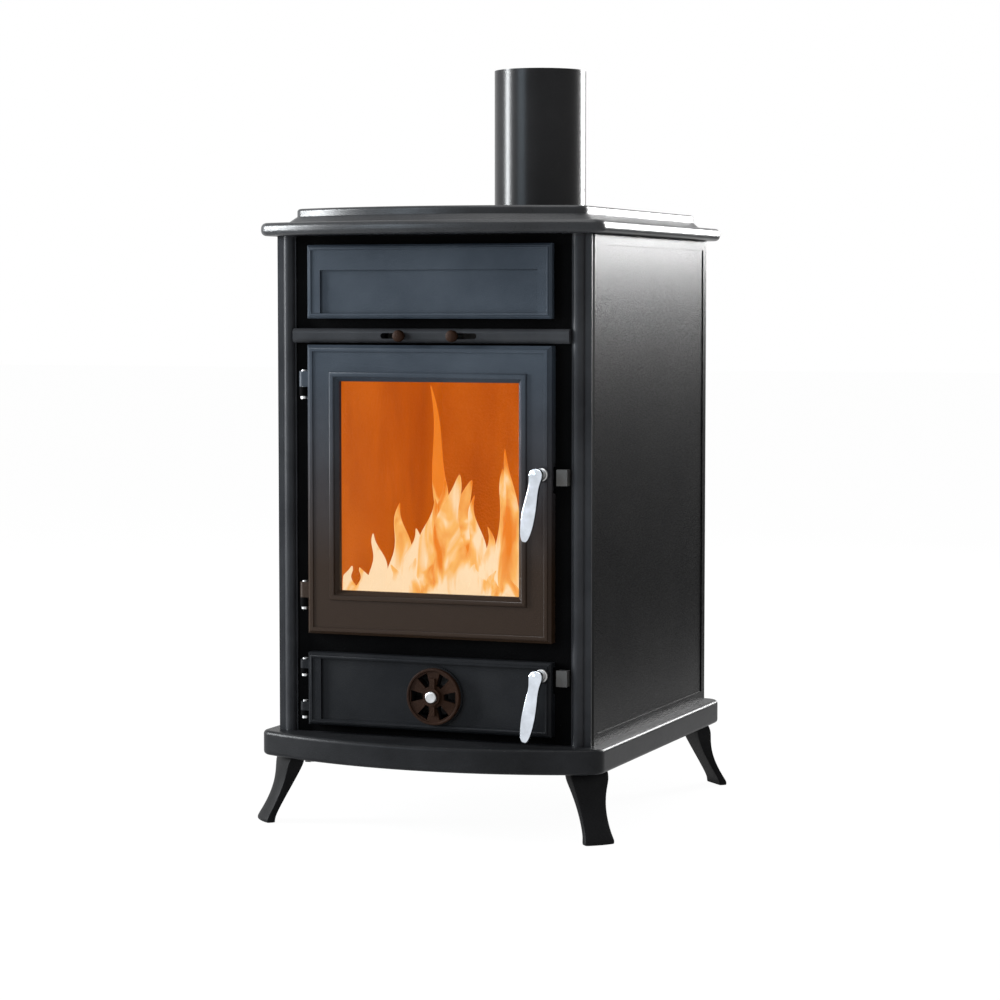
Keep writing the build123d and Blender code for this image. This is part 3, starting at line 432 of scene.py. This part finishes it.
fireLook = {
    # firelight painted on the brick walls as their own emission
    "wallFirelightDim": (0.32, 0.05, 0.0005),
    "wallFirelightMid": (0.44, 0.078, 0.001),
    "wallFirelightBright": (0.56, 0.115, 0.003),
    "wallFirelightStrength": 0.95,
    "flameTip": (0.85, 0.22, 0.015),
    "flameBody": (0.97, 0.5, 0.14),
    "flameHeart": (1.0, 0.76, 0.5),
    "flameStrength": 1.0,
    "depth": 0.11,  # flames behind the casting's face
    "base": 0.335,  # height of their feet
    "left": -0.195,  # what shows at the window's left edge, at that depth
    "span": 0.292,
    "seed": 11,
}


def makeBrick():
    # vermiculite board with the fire's light painted on it as its own glow
    material, tree, shader = newMaterial("fireBrick", Roughness=0.9)
    place = addNode(tree, "ShaderNodeTexCoord").outputs["Object"]
    flakes = addNode(tree, "ShaderNodeTexVoronoi", {"Vector": place, "Scale": 240.0})
    board = rampNode(
        tree, flakes.outputs["Distance"], [(0.0, (0.1, 0.045, 0.015)), (0.6, (0.16, 0.08, 0.03))]
    )
    rise = addNode(tree, "ShaderNodeMapping", {"Vector": place, "Scale": (9.0, 9.0, 3.2)})
    lick = addNode(
        tree, "ShaderNodeTexNoise", {
            "Vector": rise.outputs[0], "Scale": 1.0, "Detail": 4.0, "Distortion": 0.6
        }
    )
    # painted firelight: the walls emit in rising patches as if lit by the flames
    glow = rampNode(
        tree,
        lick.outputs["Fac"],
        [(0.25, fireLook["wallFirelightDim"]), (0.45, fireLook["wallFirelightMid"]), (0.72, fireLook["wallFirelightBright"])],
    )
    bump = addNode(
        tree, "ShaderNodeBump", {"Height": flakes.outputs["Distance"], "Strength": 0.5, "Distance": 0.002}
    )
    tree.links.new(board.outputs["Color"], shader.inputs["Base Color"])
    tree.links.new(glow.outputs["Color"], shader.inputs["Emission Color"])
    shader.inputs["Emission Strength"].default_value = fireLook["wallFirelightStrength"]
    tree.links.new(bump.outputs[0], shader.inputs["Normal"])
    return material


def makeFlame():
    material, tree, shader = newMaterial("flame", Roughness=1.0)
    shader.inputs["Base Color"].default_value = (0.02, 0.008, 0.0, 1)
    place = addNode(tree, "ShaderNodeTexCoord").outputs["Object"]
    split = addNode(tree, "ShaderNodeSeparateXYZ", {"Vector": place})
    rise = addNode(
        tree,
        "ShaderNodeMapRange",
        {"Value": split.outputs["Z"], "From Min": 0.34, "From Max": 0.64, "To Min": 0.0, "To Max": 1.0},
    )
    stretch = addNode(tree, "ShaderNodeMapping", {"Vector": place, "Scale": (26.0, 26.0, 9.0)})
    flicker = addNode(
        tree, "ShaderNodeTexNoise", {
            "Vector": stretch.outputs[0], "Scale": 1.0, "Detail": 3.0, "Distortion": 0.8
        }
    )
    swing = addNode(
        tree,
        "ShaderNodeMapRange",
        {"Value": flicker.outputs["Fac"], "From Min": 0.3, "From Max": 0.7, "To Min": -0.5, "To Max": 0.5},
    )
    heat = addNode(tree, "ShaderNodeMath", {0: rise.outputs[0], 1: swing.outputs[0]}, operation="ADD")
    tone = rampNode(
        tree,
        heat.outputs[0],
        [(0.12, fireLook["flameHeart"]), (0.36, fireLook["flameBody"]), (0.7, fireLook["flameTip"])],
    )
    tree.links.new(tone.outputs["Color"], shader.inputs["Emission Color"])
    shader.inputs["Emission Strength"].default_value = fireLook["flameStrength"]
    return material


def makeChar():
    material, tree, shader = newMaterial("charredLog", Roughness=0.95)
    place = addNode(tree, "ShaderNodeTexCoord").outputs["Object"]
    cracks = addNode(
        tree,
        "ShaderNodeTexVoronoi",
        {"Vector": place, "Scale": 46.0, "Randomness": 1.0},
        feature="DISTANCE_TO_EDGE",
    )
    bark = addNode(tree, "ShaderNodeTexNoise", {"Vector": place, "Scale": 60.0, "Detail": 6.0})
    tone = rampNode(tree, bark.outputs["Fac"], [(0.3, (0.012, 0.008, 0.006)), (0.7, (0.09, 0.05, 0.03))])
    glow = addNode(
        tree, "ShaderNodeMath", {
            0: cracks.outputs["Distance"], 1: bark.outputs["Fac"]
        }, operation="MULTIPLY"
    )
    emberStops = [(0.0, (0.8, 0.2, 0.02)), (0.03, (0.2, 0.02, 0.0)), (0.08, (0, 0, 0))]
    ember = rampNode(tree, glow.outputs[0], emberStops)
    bump = addNode(
        tree, "ShaderNodeBump", {"Height": cracks.outputs["Distance"], "Strength": 0.9, "Distance": 0.004}
    )
    tree.links.new(tone.outputs["Color"], shader.inputs["Base Color"])
    tree.links.new(ember.outputs["Color"], shader.inputs["Emission Color"])
    shader.inputs["Emission Strength"].default_value = 0.7
    tree.links.new(bump.outputs[0], shader.inputs["Normal"])
    return material


stoveGlass = makeGlass()
ropeSeal = makeRope()
fireBrick = makeBrick()
flameFinish = makeFlame()
charredLog = makeChar()
print("finishes ready")

nodeFinishes = {
    frameShadedPaint: ["front_frame"],
    basePaint: ["base_plate"],
    topPaint: ["top_plate"],
    doorLitPaint: ["upper_panel", "fire_door_frame", "ash_door_panel"],
    sidePaint: ["left_side_panel", "right_side_panel", "back_panel", "rear_heat_shield"],
    postPaint: ["left_corner_post", "right_corner_post", "air_rail"],
    pipePaint: ["flue_pipe", "flue_spigot"],
    damperIron: ["air_rosette"],
    innerSteel: [
        "air_slide_guides",
        "left_air_plate",
        "right_air_plate",
        "ash_pan",
        "ash_pan_runners",
        "hearth_supports",
        "glass_clips",
        "fire_door_keeper",
        "ash_door_keeper",
        "airwash_box",
    ],
    sootIron: ["hearth_plate", "grate", "log_guard"],
    zincFastener: [
        "leg_bolts",
        "shield_spacers",
        "shield_screws",
        "spigot_screws",
        "tie_rods",
        "tie_rod_nuts",
        "hinge_pins",
        "keeper_screws",
        "upper_panel_screws",
        "glass_clip_screws",
        "rosette_stud",
        "fire_handle_spindle",
        "ash_handle_spindle",
        "fire_latch_tongue",
        "ash_latch_tongue",
    ],
    stoveGlass: ["door_glass"],
    ropeSeal: ["fire_door_seal", "ash_door_seal", "glass_gasket"],
    fireBrick: ["side_fire_bricks", "rear_fire_brick", "baffle_plate"],
}
for finish, names in nodeFinishes.items():
    for name in names:
        nodes[name].data.materials.clear()
        nodes[name].data.materials.append(finish)
print("frame nodes painted")


# Legs: cabriole castings with a knee, a ridge down the front and a flat toe

legShape = {
    # height, distance out along the diagonal, depth, width
    "stations": [
        (0.0, 0.0440, 0.013, 0.0470),
        (0.006, 0.0435, 0.0135, 0.0480),
        (0.013, 0.0400, 0.012, 0.0440),
        (0.032, 0.0285, 0.012, 0.0410),
        (0.056, 0.0160, 0.0155, 0.0430),
        (0.078, 0.0080, 0.022, 0.052),
        (0.092, 0.0045, 0.026, 0.061),
        (0.1037, 0.001, 0.022, 0.062),
    ],
    "ridge": 0.0035,
    "inset": 0.014,
}


def buildLeg(name):
    stations = legShape["stations"]
    floor, out, depth, width = stations[0]
    leg = startBox(name, (out - depth / 2, -width / 2, 0), (out + depth / 2, width / 2, stations[1][0]))
    editPiece(leg)
    pickFaces(leg, lambda face: face.normal.z > 0.9)
    bpy.ops.transform.resize(
        value=(stations[1][2] / depth, stations[1][3] / width, 1), center_override=selectedMiddle(leg)
    )
    for before, after in zip(stations[1:], stations[2:]):
        move = (after[1] - before[1], 0, after[0] - before[0])
        growFace(leg, [(move, (after[2] / before[2], after[3] / before[3], 1))])
    # a ridge down the outer face
    pickEdges(leg, lambda edge: abs(edge.verts[0].co.y - edge.verts[1].co.y) > 0.02)
    bpy.ops.mesh.subdivide(number_cuts=1)
    mesh = bmesh.from_edit_mesh(leg.data)
    for vertex in mesh.verts:
        vertex.select_set(False)
    for vertex in mesh.verts:
        level = min(stations, key=lambda row: abs(row[0] - vertex.co.z))
        if abs(vertex.co.y) < 0.002 and vertex.co.x > level[1]:
            vertex.select_set(True)
    bmesh.update_edit_mesh(leg.data)
    bpy.ops.transform.translate(value=(legShape["ridge"], 0, 0))
    bpy.ops.object.mode_set(mode="OBJECT")
    addModifier(leg, "BEVEL", width=0.0018, segments=2, limit_method="ANGLE", angle_limit=radians(35))
    addModifier(leg, "SUBSURF", levels=2, render_levels=2)
    return leg


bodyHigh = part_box("right_side_panel")[1]
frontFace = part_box("front_frame")[1].y - 0.010  # front of the casting, behind the hinge lugs
legCorners = {
    "front_left_leg": (-1, -1),
    "front_right_leg": (1, -1),
    "rear_left_leg": (-1, 1),
    "rear_right_leg": (1, 1),
}
for nodeName, (side, end) in legCorners.items():
    leg = buildLeg(nodeName.replace("_leg", "_cabriole"))
    leg.rotation_euler = (
        0, 0, {(1, -1): -45, (1, 1): 45, (-1, 1): 135, (-1, -1): -135}[(side, end)] * radians(1)
    )
    edgeY = frontFace + legShape["inset"] if end < 0 else bodyHigh.y - legShape["inset"]
    leg.location = (side * (bodyHigh.x - legShape["inset"]), edgeY, 0)
    settlePiece(leg, legPaint, "stove", 50)
    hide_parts(nodeName)
print("legs built")


# Lever handles: flat leaf shapes that swell below the boss

leverShape = {
    # distance down the lever, half width, thickness, how far the middle bows out
    "stations": [
        (-0.0105, 0.0045, 0.0065, 0.0),
        (-0.0070, 0.0088, 0.0095, 0.0),
        (0.0, 0.0108, 0.0110, 0.0),
        (0.0085, 0.0092, 0.0102, 0.0),
        (0.020, 0.0075, 0.0085, 0.0),
        (0.040, 0.0098, 0.0088, 0.0006),
        (0.062, 0.0108, 0.0084, 0.0006),
        (0.082, 0.0095, 0.0076, 0.0),
        (0.095, 0.0066, 0.0066, 0.0),
        (0.1005, 0.0030, 0.0045, 0.0),
    ],
    "lean": 11.0,
    "back": 0.044,
    "thickness": 0.012,
    "capRadius": 0.0062,
    "capForward": 0.0035,
    "collarRadius": 0.0098,
    "collarForward": 0.0272,
}


def buildLever(name, top):
    stations = leverShape["stations"]
    first = stations[0]
    lever = startBox(name, (-first[1], -first[2] / 2, -stations[1][0]), (first[1], first[2] / 2, -first[0]))
    editPiece(lever)
    pickFaces(lever, lambda face: face.normal.z < -0.9)
    bpy.ops.transform.resize(
        value=(
            stations[1][1] / first[1], stations[1][2] / first[2], 1
        ), center_override=selectedMiddle(lever)
    )
    for before, after in zip(stations[1:], stations[2:]):
        move = (0, -(after[3] - before[3]), -(after[0] - before[0]))
        growFace(lever, [(move, (after[1] / before[1], after[2] / before[2], 1))])
    bpy.ops.object.mode_set(mode="OBJECT")
    addModifier(lever, "BEVEL", width=0.0016, segments=2, limit_method="ANGLE", angle_limit=radians(50))
    addModifier(lever, "SUBSURF", levels=2, render_levels=2)
    lever.rotation_euler = (0, radians(leverShape["lean"]), 0)
    lever.location = top
    return lever


for door in ("fire", "ash"):
    low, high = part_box(f"{door}_handle_spindle")
    centre = (
        (low.x + high.x) / 2,
        frontFace - leverShape["back"] - leverShape["thickness"] / 2,
        (low.z + high.z) / 2,
    )
    lever = buildLever(f"{door}_lever", centre)
    settlePiece(lever, handleChrome, f"{door}_handle", 60)
    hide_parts(f"{door}_handle_lever")
    cap = startDisc(
        f"{door}_lever_cap",
        (centre[0], centre[1] - leverShape["capForward"], centre[2]),
        leverShape["capRadius"],
        24,
    )
    editPiece(cap)
    bpy.ops.mesh.select_all(action="SELECT")
    growFace(
        cap,
        [
            ((0, -0.0012, 0), (1, 1, 1)),
            ((0, -0.0009, 0), (0.72, 1, 0.72)),
            ((0, -0.0003, 0), (0.4, 1, 0.4)),
        ],
    )
    settlePiece(cap, handleChrome, f"{door}_handle", 35)
    collar = startDisc(
        f"{door}_spindle_collar",
        (centre[0], frontFace - leverShape["collarForward"], centre[2]),
        leverShape["collarRadius"],
        32,
    )
    editPiece(collar)
    bpy.ops.mesh.select_all(action="SELECT")
    growFace(
        collar,
        [
            ((0, -0.003, 0), (1, 1, 1)),
            ((0, -0.001, 0), (0.88, 1, 0.88)),
            ((0, 0, 0), (0.7, 1, 0.7)),
            ((0, -0.0115, 0), (0.9, 1, 0.9)),
        ],
    )
    settlePiece(collar, zincFastener, f"{door}_handle", 35)
print("handles built")


# Mouldings on the doors and the upper panel

def buildRing(name, half, low, high, band, height, back, body, finish, crown=0.45):
    # a raised band round a rectangle on a front face; back is the face's distance before the casting
    clearSelection()
    y = frontFace - back
    bpy.ops.mesh.primitive_plane_add(
        size=1, location=(0, y, (low + high) / 2), rotation=(radians(90), 0, 0)
    )
    ring = namePiece(name)
    ring.scale = (2 * half, high - low, 1)
    bpy.ops.object.transform_apply(location=True, rotation=True, scale=True)
    editPiece(ring)
    bpy.ops.mesh.select_all(action="SELECT")
    bpy.ops.mesh.inset(thickness=band)
    bpy.ops.mesh.delete(type="FACE")
    bpy.ops.mesh.select_all(action="SELECT")
    bpy.ops.mesh.extrude_region_move(TRANSFORM_OT_translate={"value": (0, -height, 0)})
    front = y - height
    pickEdges(ring, lambda edge: all(abs(v.co.y - front) < 1e-5 for v in edge.verts) and abs(
        edge.verts[0].co.x - edge.verts[1].co.x) * abs(edge.verts[0].co.z - edge.verts[1].co.z) < 1e-8)
    bpy.ops.mesh.bevel(offset=min(height, band) * crown, segments=4, profile=0.5)
    bpy.ops.object.mode_set(mode="OBJECT")
    settlePiece(ring, finish, body, 50)
    return ring


doorLow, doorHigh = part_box("fire_door_frame")
glassLow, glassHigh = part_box("door_glass")
overlap = 0.007
windowHalf = glassHigh.x - overlap
windowLow, windowHigh = glassLow.z + overlap, glassHigh.z - overlap
doorHalf = doorHigh.x
mouldings = {
    "doorFront": 0.022,
    "panelFront": 0.020,
    "sink": 0.0005,
    "edge": 0.0045,  # rims stand this far inside the edge
    "beadOut": 0.014,  # the bead stands this far outside the glass
    "beadWidth": 0.008,
    "ridge": 0.0035,
    "doorRim": (0.006, 0.0022),  # width and height of each rim
    "ashRim": (0.0035, 0.002),
    "panelRim": (0.0032, 0.002),
}
edge, beadOut = mouldings["edge"], mouldings["beadOut"]
doorBack = mouldings["doorFront"] - mouldings["sink"]
panelBack = mouldings["panelFront"] - mouldings["sink"]
buildRing(
    "window_bead", windowHalf + beadOut, windowLow - beadOut, windowHigh + beadOut,
    mouldings["beadWidth"], mouldings["ridge"], doorBack, "fire_door", doorLitPaint, 0.6,
)
buildRing(
    "fire_door_rim", doorHalf - edge, doorLow.z + edge, doorHigh.z - edge,
    *mouldings["doorRim"], doorBack, "fire_door", doorLitPaint,
)
# painted shade: the ash door takes the darker copy of the door paint
nodes["ash_door_panel"].data.materials[0] = ashShadedPaint
ashLow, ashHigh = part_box("ash_door_panel")
buildRing(
    "ash_door_rim", doorHalf - edge, ashLow.z + edge, ashHigh.z - edge,
    *mouldings["ashRim"], doorBack, "ash_door", ashShadedPaint,
)
panelLow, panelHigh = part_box("upper_panel")
buildRing(
    "upper_panel_rim", doorHalf - edge, panelLow.z + edge, panelHigh.z - edge,
    *mouldings["panelRim"], panelBack, "stove", doorLitPaint,
)
print("mouldings built")


# Air knobs: turned, with a waist and a domed face

knobShape = {
    "length": 0.0183,
    "stemRadius": 0.004,
    # distance out from the rail's face, radius
    "stations": [
        (0.0, 0.0055),
        (0.003, 0.0052),
        (0.006, 0.0068),
        (0.009, 0.0089),
        (0.0135, 0.009),
        (0.0165, 0.0078),
        (0.018, 0.0055),
        (0.0183, 0.002),
    ],
}
for side in ("left", "right"):
    low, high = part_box(f"{side}_air_knob")
    x, z = (low.x + high.x) / 2, (low.z + high.z) / 2
    base = low.y + knobShape["length"]
    radius = knobShape["stations"][0][1]
    knob = startDisc(f"{side}_turned_knob", (x, base, z), radius, 28)
    editPiece(knob)
    bpy.ops.mesh.select_all(action="SELECT")
    steps = []
    for before, after in zip(knobShape["stations"], knobShape["stations"][1:]):
        grow = after[1] / before[1]
        steps.append(((0, before[0] - after[0], 0), (grow, 1, grow)))
    growFace(knob, steps)
    stem = startDisc(f"{side}_knob_stem", (x, high.y, z), knobShape["stemRadius"], 20)
    editPiece(stem)
    bpy.ops.mesh.select_all(action="SELECT")
    growFace(stem, [((0, base - high.y - 0.0005, 0), (1, 1, 1))])
    settlePiece(stem, zincFastener, f"{side}_air_slide", 35)
    settlePiece(knob, damperIron, f"{side}_air_slide", 35)
    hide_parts(f"{side}_air_knob")
print("knobs built")


# Damper: a raised rim round the disc

rosetteLow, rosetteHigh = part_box("air_rosette")
damper = {"rimWidth": 0.004, "rimHeight": 0.0022, "disc": 0.005}
discFront = rosetteHigh.y - damper["disc"]
rimRadius = (rosetteHigh.x - rosetteLow.x) / 2
rim = startDisc(
    "damper_rim",
    ((rosetteLow.x + rosetteHigh.x) / 2, discFront + 0.0004, (rosetteLow.z + rosetteHigh.z) / 2),
    rimRadius - 0.0002,
    72,
)
editPiece(rim)
bpy.ops.mesh.select_all(action="SELECT")
bpy.ops.mesh.inset(thickness=damper["rimWidth"])
bpy.ops.mesh.delete(type="FACE")
bpy.ops.mesh.select_all(action="SELECT")
bpy.ops.mesh.extrude_region_move(TRANSFORM_OT_translate={"value": (0, -damper["rimHeight"], 0)})
bpy.ops.object.mode_set(mode="OBJECT")
addModifier(rim, "BEVEL", width=0.0009, segments=3, limit_method="ANGLE", angle_limit=radians(40))
settlePiece(rim, damperIron, "rosette", 40)
print("damper built")


# Fire: logs on the grate, an ember bed and tongues of flame

grateLow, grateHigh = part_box("grate")
logs = [
    # centre, length, radius, turn about Z
    ((-0.045, -0.045, 0.029), 0.27, 0.027, 8),
    ((0.055, 0.045, 0.031), 0.25, 0.029, -12),
    ((0.015, 0.0, 0.066), 0.26, 0.021, 24),
]
dice = random.Random(fireLook["seed"])
for number, ((x, y, z), length, radius, turn) in enumerate(logs, 1):
    clearSelection()
    bpy.ops.mesh.primitive_circle_add(
        vertices=14, radius=radius, fill_type="NGON", rotation=(0, radians(90), 0)
    )
    log = namePiece(f"log{number}")
    bpy.ops.object.transform_apply(location=False, rotation=True, scale=True)
    editPiece(log)
    bpy.ops.mesh.select_all(action="SELECT")
    bpy.ops.transform.translate(value=(-length / 2, 0, 0))
    growFace(
        log,
        [
            (
                (length / 7, dice.uniform(-0.003, 0.003), dice.uniform(-0.003, 0.003)),
                (1, dice.uniform(0.93, 1.07), dice.uniform(0.93, 1.07)),
            )
            for step in range(7)
        ],
    )
    mesh = bmesh.from_edit_mesh(log.data)
    for vertex in mesh.verts:
        vertex.co.y *= dice.uniform(0.92, 1.06)
        vertex.co.z *= dice.uniform(0.92, 1.06)
    bmesh.update_edit_mesh(log.data)
    bpy.ops.object.mode_set(mode="OBJECT")
    addModifier(log, "SUBSURF", levels=2, render_levels=2)
    log.rotation_euler = (0, 0, radians(turn))
    log.location = (x, (grateLow.y + grateHigh.y) / 2 + y, grateHigh.z + z)
    settlePiece(log, charredLog, "stove", 50)

clearSelection()
bpy.ops.mesh.primitive_grid_add(
    x_subdivisions=26,
    y_subdivisions=26,
    size=1,
    location=(0, (grateLow.y + grateHigh.y) / 2, grateHigh.z + 0.004),
)
embers = namePiece("ember_bed")
embers.scale = (0.30, 0.26, 1)
bpy.ops.object.transform_apply(location=True, rotation=True, scale=True)
editPiece(embers)
mesh = bmesh.from_edit_mesh(embers.data)
centreY = (grateLow.y + grateHigh.y) / 2
for vertex in mesh.verts:
    away = sqrt((vertex.co.x / 0.15) ** 2 + ((vertex.co.y - centreY) / 0.13) ** 2)
    vertex.co.z += max(0.0, 1 - away) * 0.012 + dice.uniform(0, 0.005)
bmesh.update_edit_mesh(embers.data)
bpy.ops.object.mode_set(mode="OBJECT")
addModifier(embers, "SOLIDIFY", thickness=0.004)
settlePiece(embers, charredLog, "stove", 60)

flames = [
    # share of the window's width, share of its height, width, lean to the right, offset in depth
    (0.50, 0.43, 0.050, 0.004, -0.010),
    (0.56, 0.52, 0.056, -0.006, 0.006),
    (0.62, 0.55, 0.058, 0.006, -0.014),
    (0.69, 0.52, 0.054, -0.004, 0.010),
    (0.75, 0.45, 0.046, 0.004, -0.006),
    (0.62, 0.98, 0.036, -0.047, 0.022),
    (0.92, 0.58, 0.038, 0.002, 0.004),
    (0.97, 0.68, 0.036, -0.003, -0.010),
    (0.30, 0.40, 0.042, 0.006, 0.008),
    (0.21, 0.25, 0.034, -0.004, -0.008),
    (0.84, 0.30, 0.034, 0.004, -0.012),
    (0.40, 0.28, 0.036, 0.005, -0.006),
]
# a low row all along the front of the bed
for place in range(11):
    flames.append((0.05 + 0.092 * place, dice.uniform(0.08, 0.15), dice.uniform(0.026, 0.034), 0.0, -0.020))
taper = [1.0, 1.18, 1.14, 0.98, 0.84, 0.66, 0.46, 0.27, 0.06]
levels = len(taper) - 1
for number, (share, rise, wide, lean, deep) in enumerate(flames, 1):
    tall = windowLow + rise * (windowHigh - windowLow) - fireLook["base"]
    foot = (
        fireLook["left"] + share * fireLook["span"],
        frontFace + fireLook["depth"] + deep,
        fireLook["base"],
    )
    clearSelection()
    bpy.ops.mesh.primitive_circle_add(vertices=10, radius=wide / 2, fill_type="NGON", location=foot)
    flame = namePiece(f"flame{number:02d}")
    bpy.ops.object.transform_apply(location=True, rotation=True, scale=True)
    editPiece(flame)
    bpy.ops.mesh.select_all(action="SELECT")
    bpy.ops.transform.resize(value=(1, 0.45, 1), center_override=foot)
    phase = dice.uniform(0, 6.28)
    steps = []
    for level in range(levels):
        sway = lean / levels + wide * 0.22 * (level / levels + 0.2) * sin(phase + level * 1.15)
        swell = taper[level + 1] / taper[level] * dice.uniform(0.9, 1.1)
        steps.append(((sway, 0, tall / levels), (swell, swell, 1)))
    growFace(flame, steps)
    bpy.ops.object.mode_set(mode="OBJECT")
    addModifier(flame, "SUBSURF", levels=2, render_levels=2)
    settlePiece(flame, flameFinish, "stove", 80)
print("fire built")


# Floor, light and camera

def makeFloor():
    clearSelection()
    bpy.ops.mesh.primitive_plane_add(size=60, location=(0, 0, -0.0005))
    floor = namePiece("studio_floor")
    material, tree, shader = newMaterial("paleFloor", Roughness=0.9)
    shader.inputs["Base Color"].default_value = (0.86, 0.86, 0.86, 1)
    shader.inputs["Specular IOR Level"].default_value = 0.1
    seen = seenRays(tree)
    share = addNode(tree, "ShaderNodeMath", {0: seen, 1: studio["floorWhite"]}, operation="MULTIPLY")
    white = addNode(tree, "ShaderNodeEmission", {"Color": (1, 1, 1, 1), "Strength": 1.0})
    blend = addNode(tree, "ShaderNodeMixShader")
    tree.links.new(share.outputs[0], blend.inputs[0])
    tree.links.new(shader.outputs[0], blend.inputs[1])
    tree.links.new(white.outputs[0], blend.inputs[2])
    tree.links.new(blend.outputs[0], tree.nodes["Material Output"].inputs["Surface"])
    floor.data.materials.append(material)


def seenRays(tree):
    # 1 for what the camera, a mirror or clear glass sees
    path = addNode(tree, "ShaderNodeLightPath")
    first = addNode(
        tree,
        "ShaderNodeMath",
        {0: path.outputs["Is Camera Ray"], 1: path.outputs["Is Glossy Ray"]},
        operation="ADD",
    )
    return addNode(
        tree,
        "ShaderNodeMath",
        {0: first.outputs[0], 1: path.outputs["Is Transmission Ray"]},
        operation="ADD",
        use_clamp=True,
    ).outputs[0]


def makeFlag(name, low, high):
    # a black card that the side panel mirrors and no camera sees
    flag = startBox(name, low, high)
    material, tree, shader = newMaterial(f"{name}Cloth", Roughness=1.0)
    shader.inputs["Base Color"].default_value = (0.002, 0.002, 0.002, 1)
    shader.inputs["Specular IOR Level"].default_value = 0.0
    path = addNode(tree, "ShaderNodeLightPath")
    clear = addNode(tree, "ShaderNodeBsdfTransparent")
    blend = addNode(tree, "ShaderNodeMixShader", {0: path.outputs["Is Camera Ray"]})
    tree.links.new(shader.outputs[0], blend.inputs[1])
    tree.links.new(clear.outputs[0], blend.inputs[2])
    tree.links.new(blend.outputs[0], tree.nodes["Material Output"].inputs["Surface"])
    flag.data.materials.append(material)


studio = {
    "floorWhite": 0.97,
    "roomLight": 0.7,
    # name, low corner, high corner
    "flags": [
        ("standingFlag", (0.95, 4.3, 0.0), (3.6, 4.32, 0.78)),
        ("lyingFlag", (0.72, 0.95, 0.0), (3.6, 4.3, 0.01)),
    ],
    # name, place, target, size, power, colour
    "lamps": [
        ("sideLamp", (1.75, 4.1, 1.75), (0.255, 0.05, 0.86), (1.1, 1.5), 330, (1.0, 1.0, 1.0)),
        ("frontLamp", (-2.3, -4.2, 1.9), (0.0, -0.25, 0.6), (1.6, 1.8), 85, (0.72, 0.87, 1.0)),
        ("leftLamp", (-4.2, -1.4, 1.7), (0.0, 0.0, 0.8), (0.9, 2.4), 620, (0.95, 0.98, 1.0)),
        ("topLamp", (0.4, -0.6, 3.6), (0.0, 0.0, 0.9), (2.2, 2.2), 60, (1.0, 1.0, 1.0)),
    ],
}
makeFloor()
for name, low, high in studio["flags"]:
    makeFlag(name, low, high)

for name, place, target, size, power, colour in studio["lamps"]:
    clearSelection()
    bpy.ops.object.light_add(type="AREA", location=place)
    lamp = bpy.context.object
    lamp.name = name
    lamp.data.shape = "RECTANGLE"
    lamp.data.size, lamp.data.size_y = size
    lamp.data.energy = power
    lamp.data.color = colour
    lamp.rotation_euler = (Vector(target) - Vector(place)).to_track_quat("-Z", "Y").to_euler()

world = bpy.data.worlds.new("studioWorld")
bpy.context.scene.world = world
world.use_nodes = True
background = world.node_tree.nodes["Background"]
background.inputs["Color"].default_value = (1, 1, 1, 1)
strength = addNode(
    world.node_tree,
    "ShaderNodeMapRange",
    {"Value": seenRays(world.node_tree), "To Min": studio["roomLight"], "To Max": 1.0},
)
world.node_tree.links.new(strength.outputs[0], background.inputs["Strength"])

view = {
    "place": (1.677, -4.2335, 0.793),
    "turn": 21.5,  # degrees to the right of the stove's front
    "pitch": 3.85,
    "lens": 103.5,
}
bpy.ops.object.camera_add(location=view["place"])
camera = bpy.context.object
camera.name = "photoCamera"
camera.data.sensor_width = 36
camera.data.lens = view["lens"]
camera.data.clip_end = 200
turn, pitch = radians(view["turn"]), radians(view["pitch"])
look = Vector((-sin(turn) * cos(pitch), cos(turn) * cos(pitch), -sin(pitch)))
camera.rotation_euler = look.to_track_quat("-Z", "Y").to_euler()
bpy.context.scene.camera = camera
bpy.context.scene.view_settings.view_transform = "Standard"
print("studio ready")
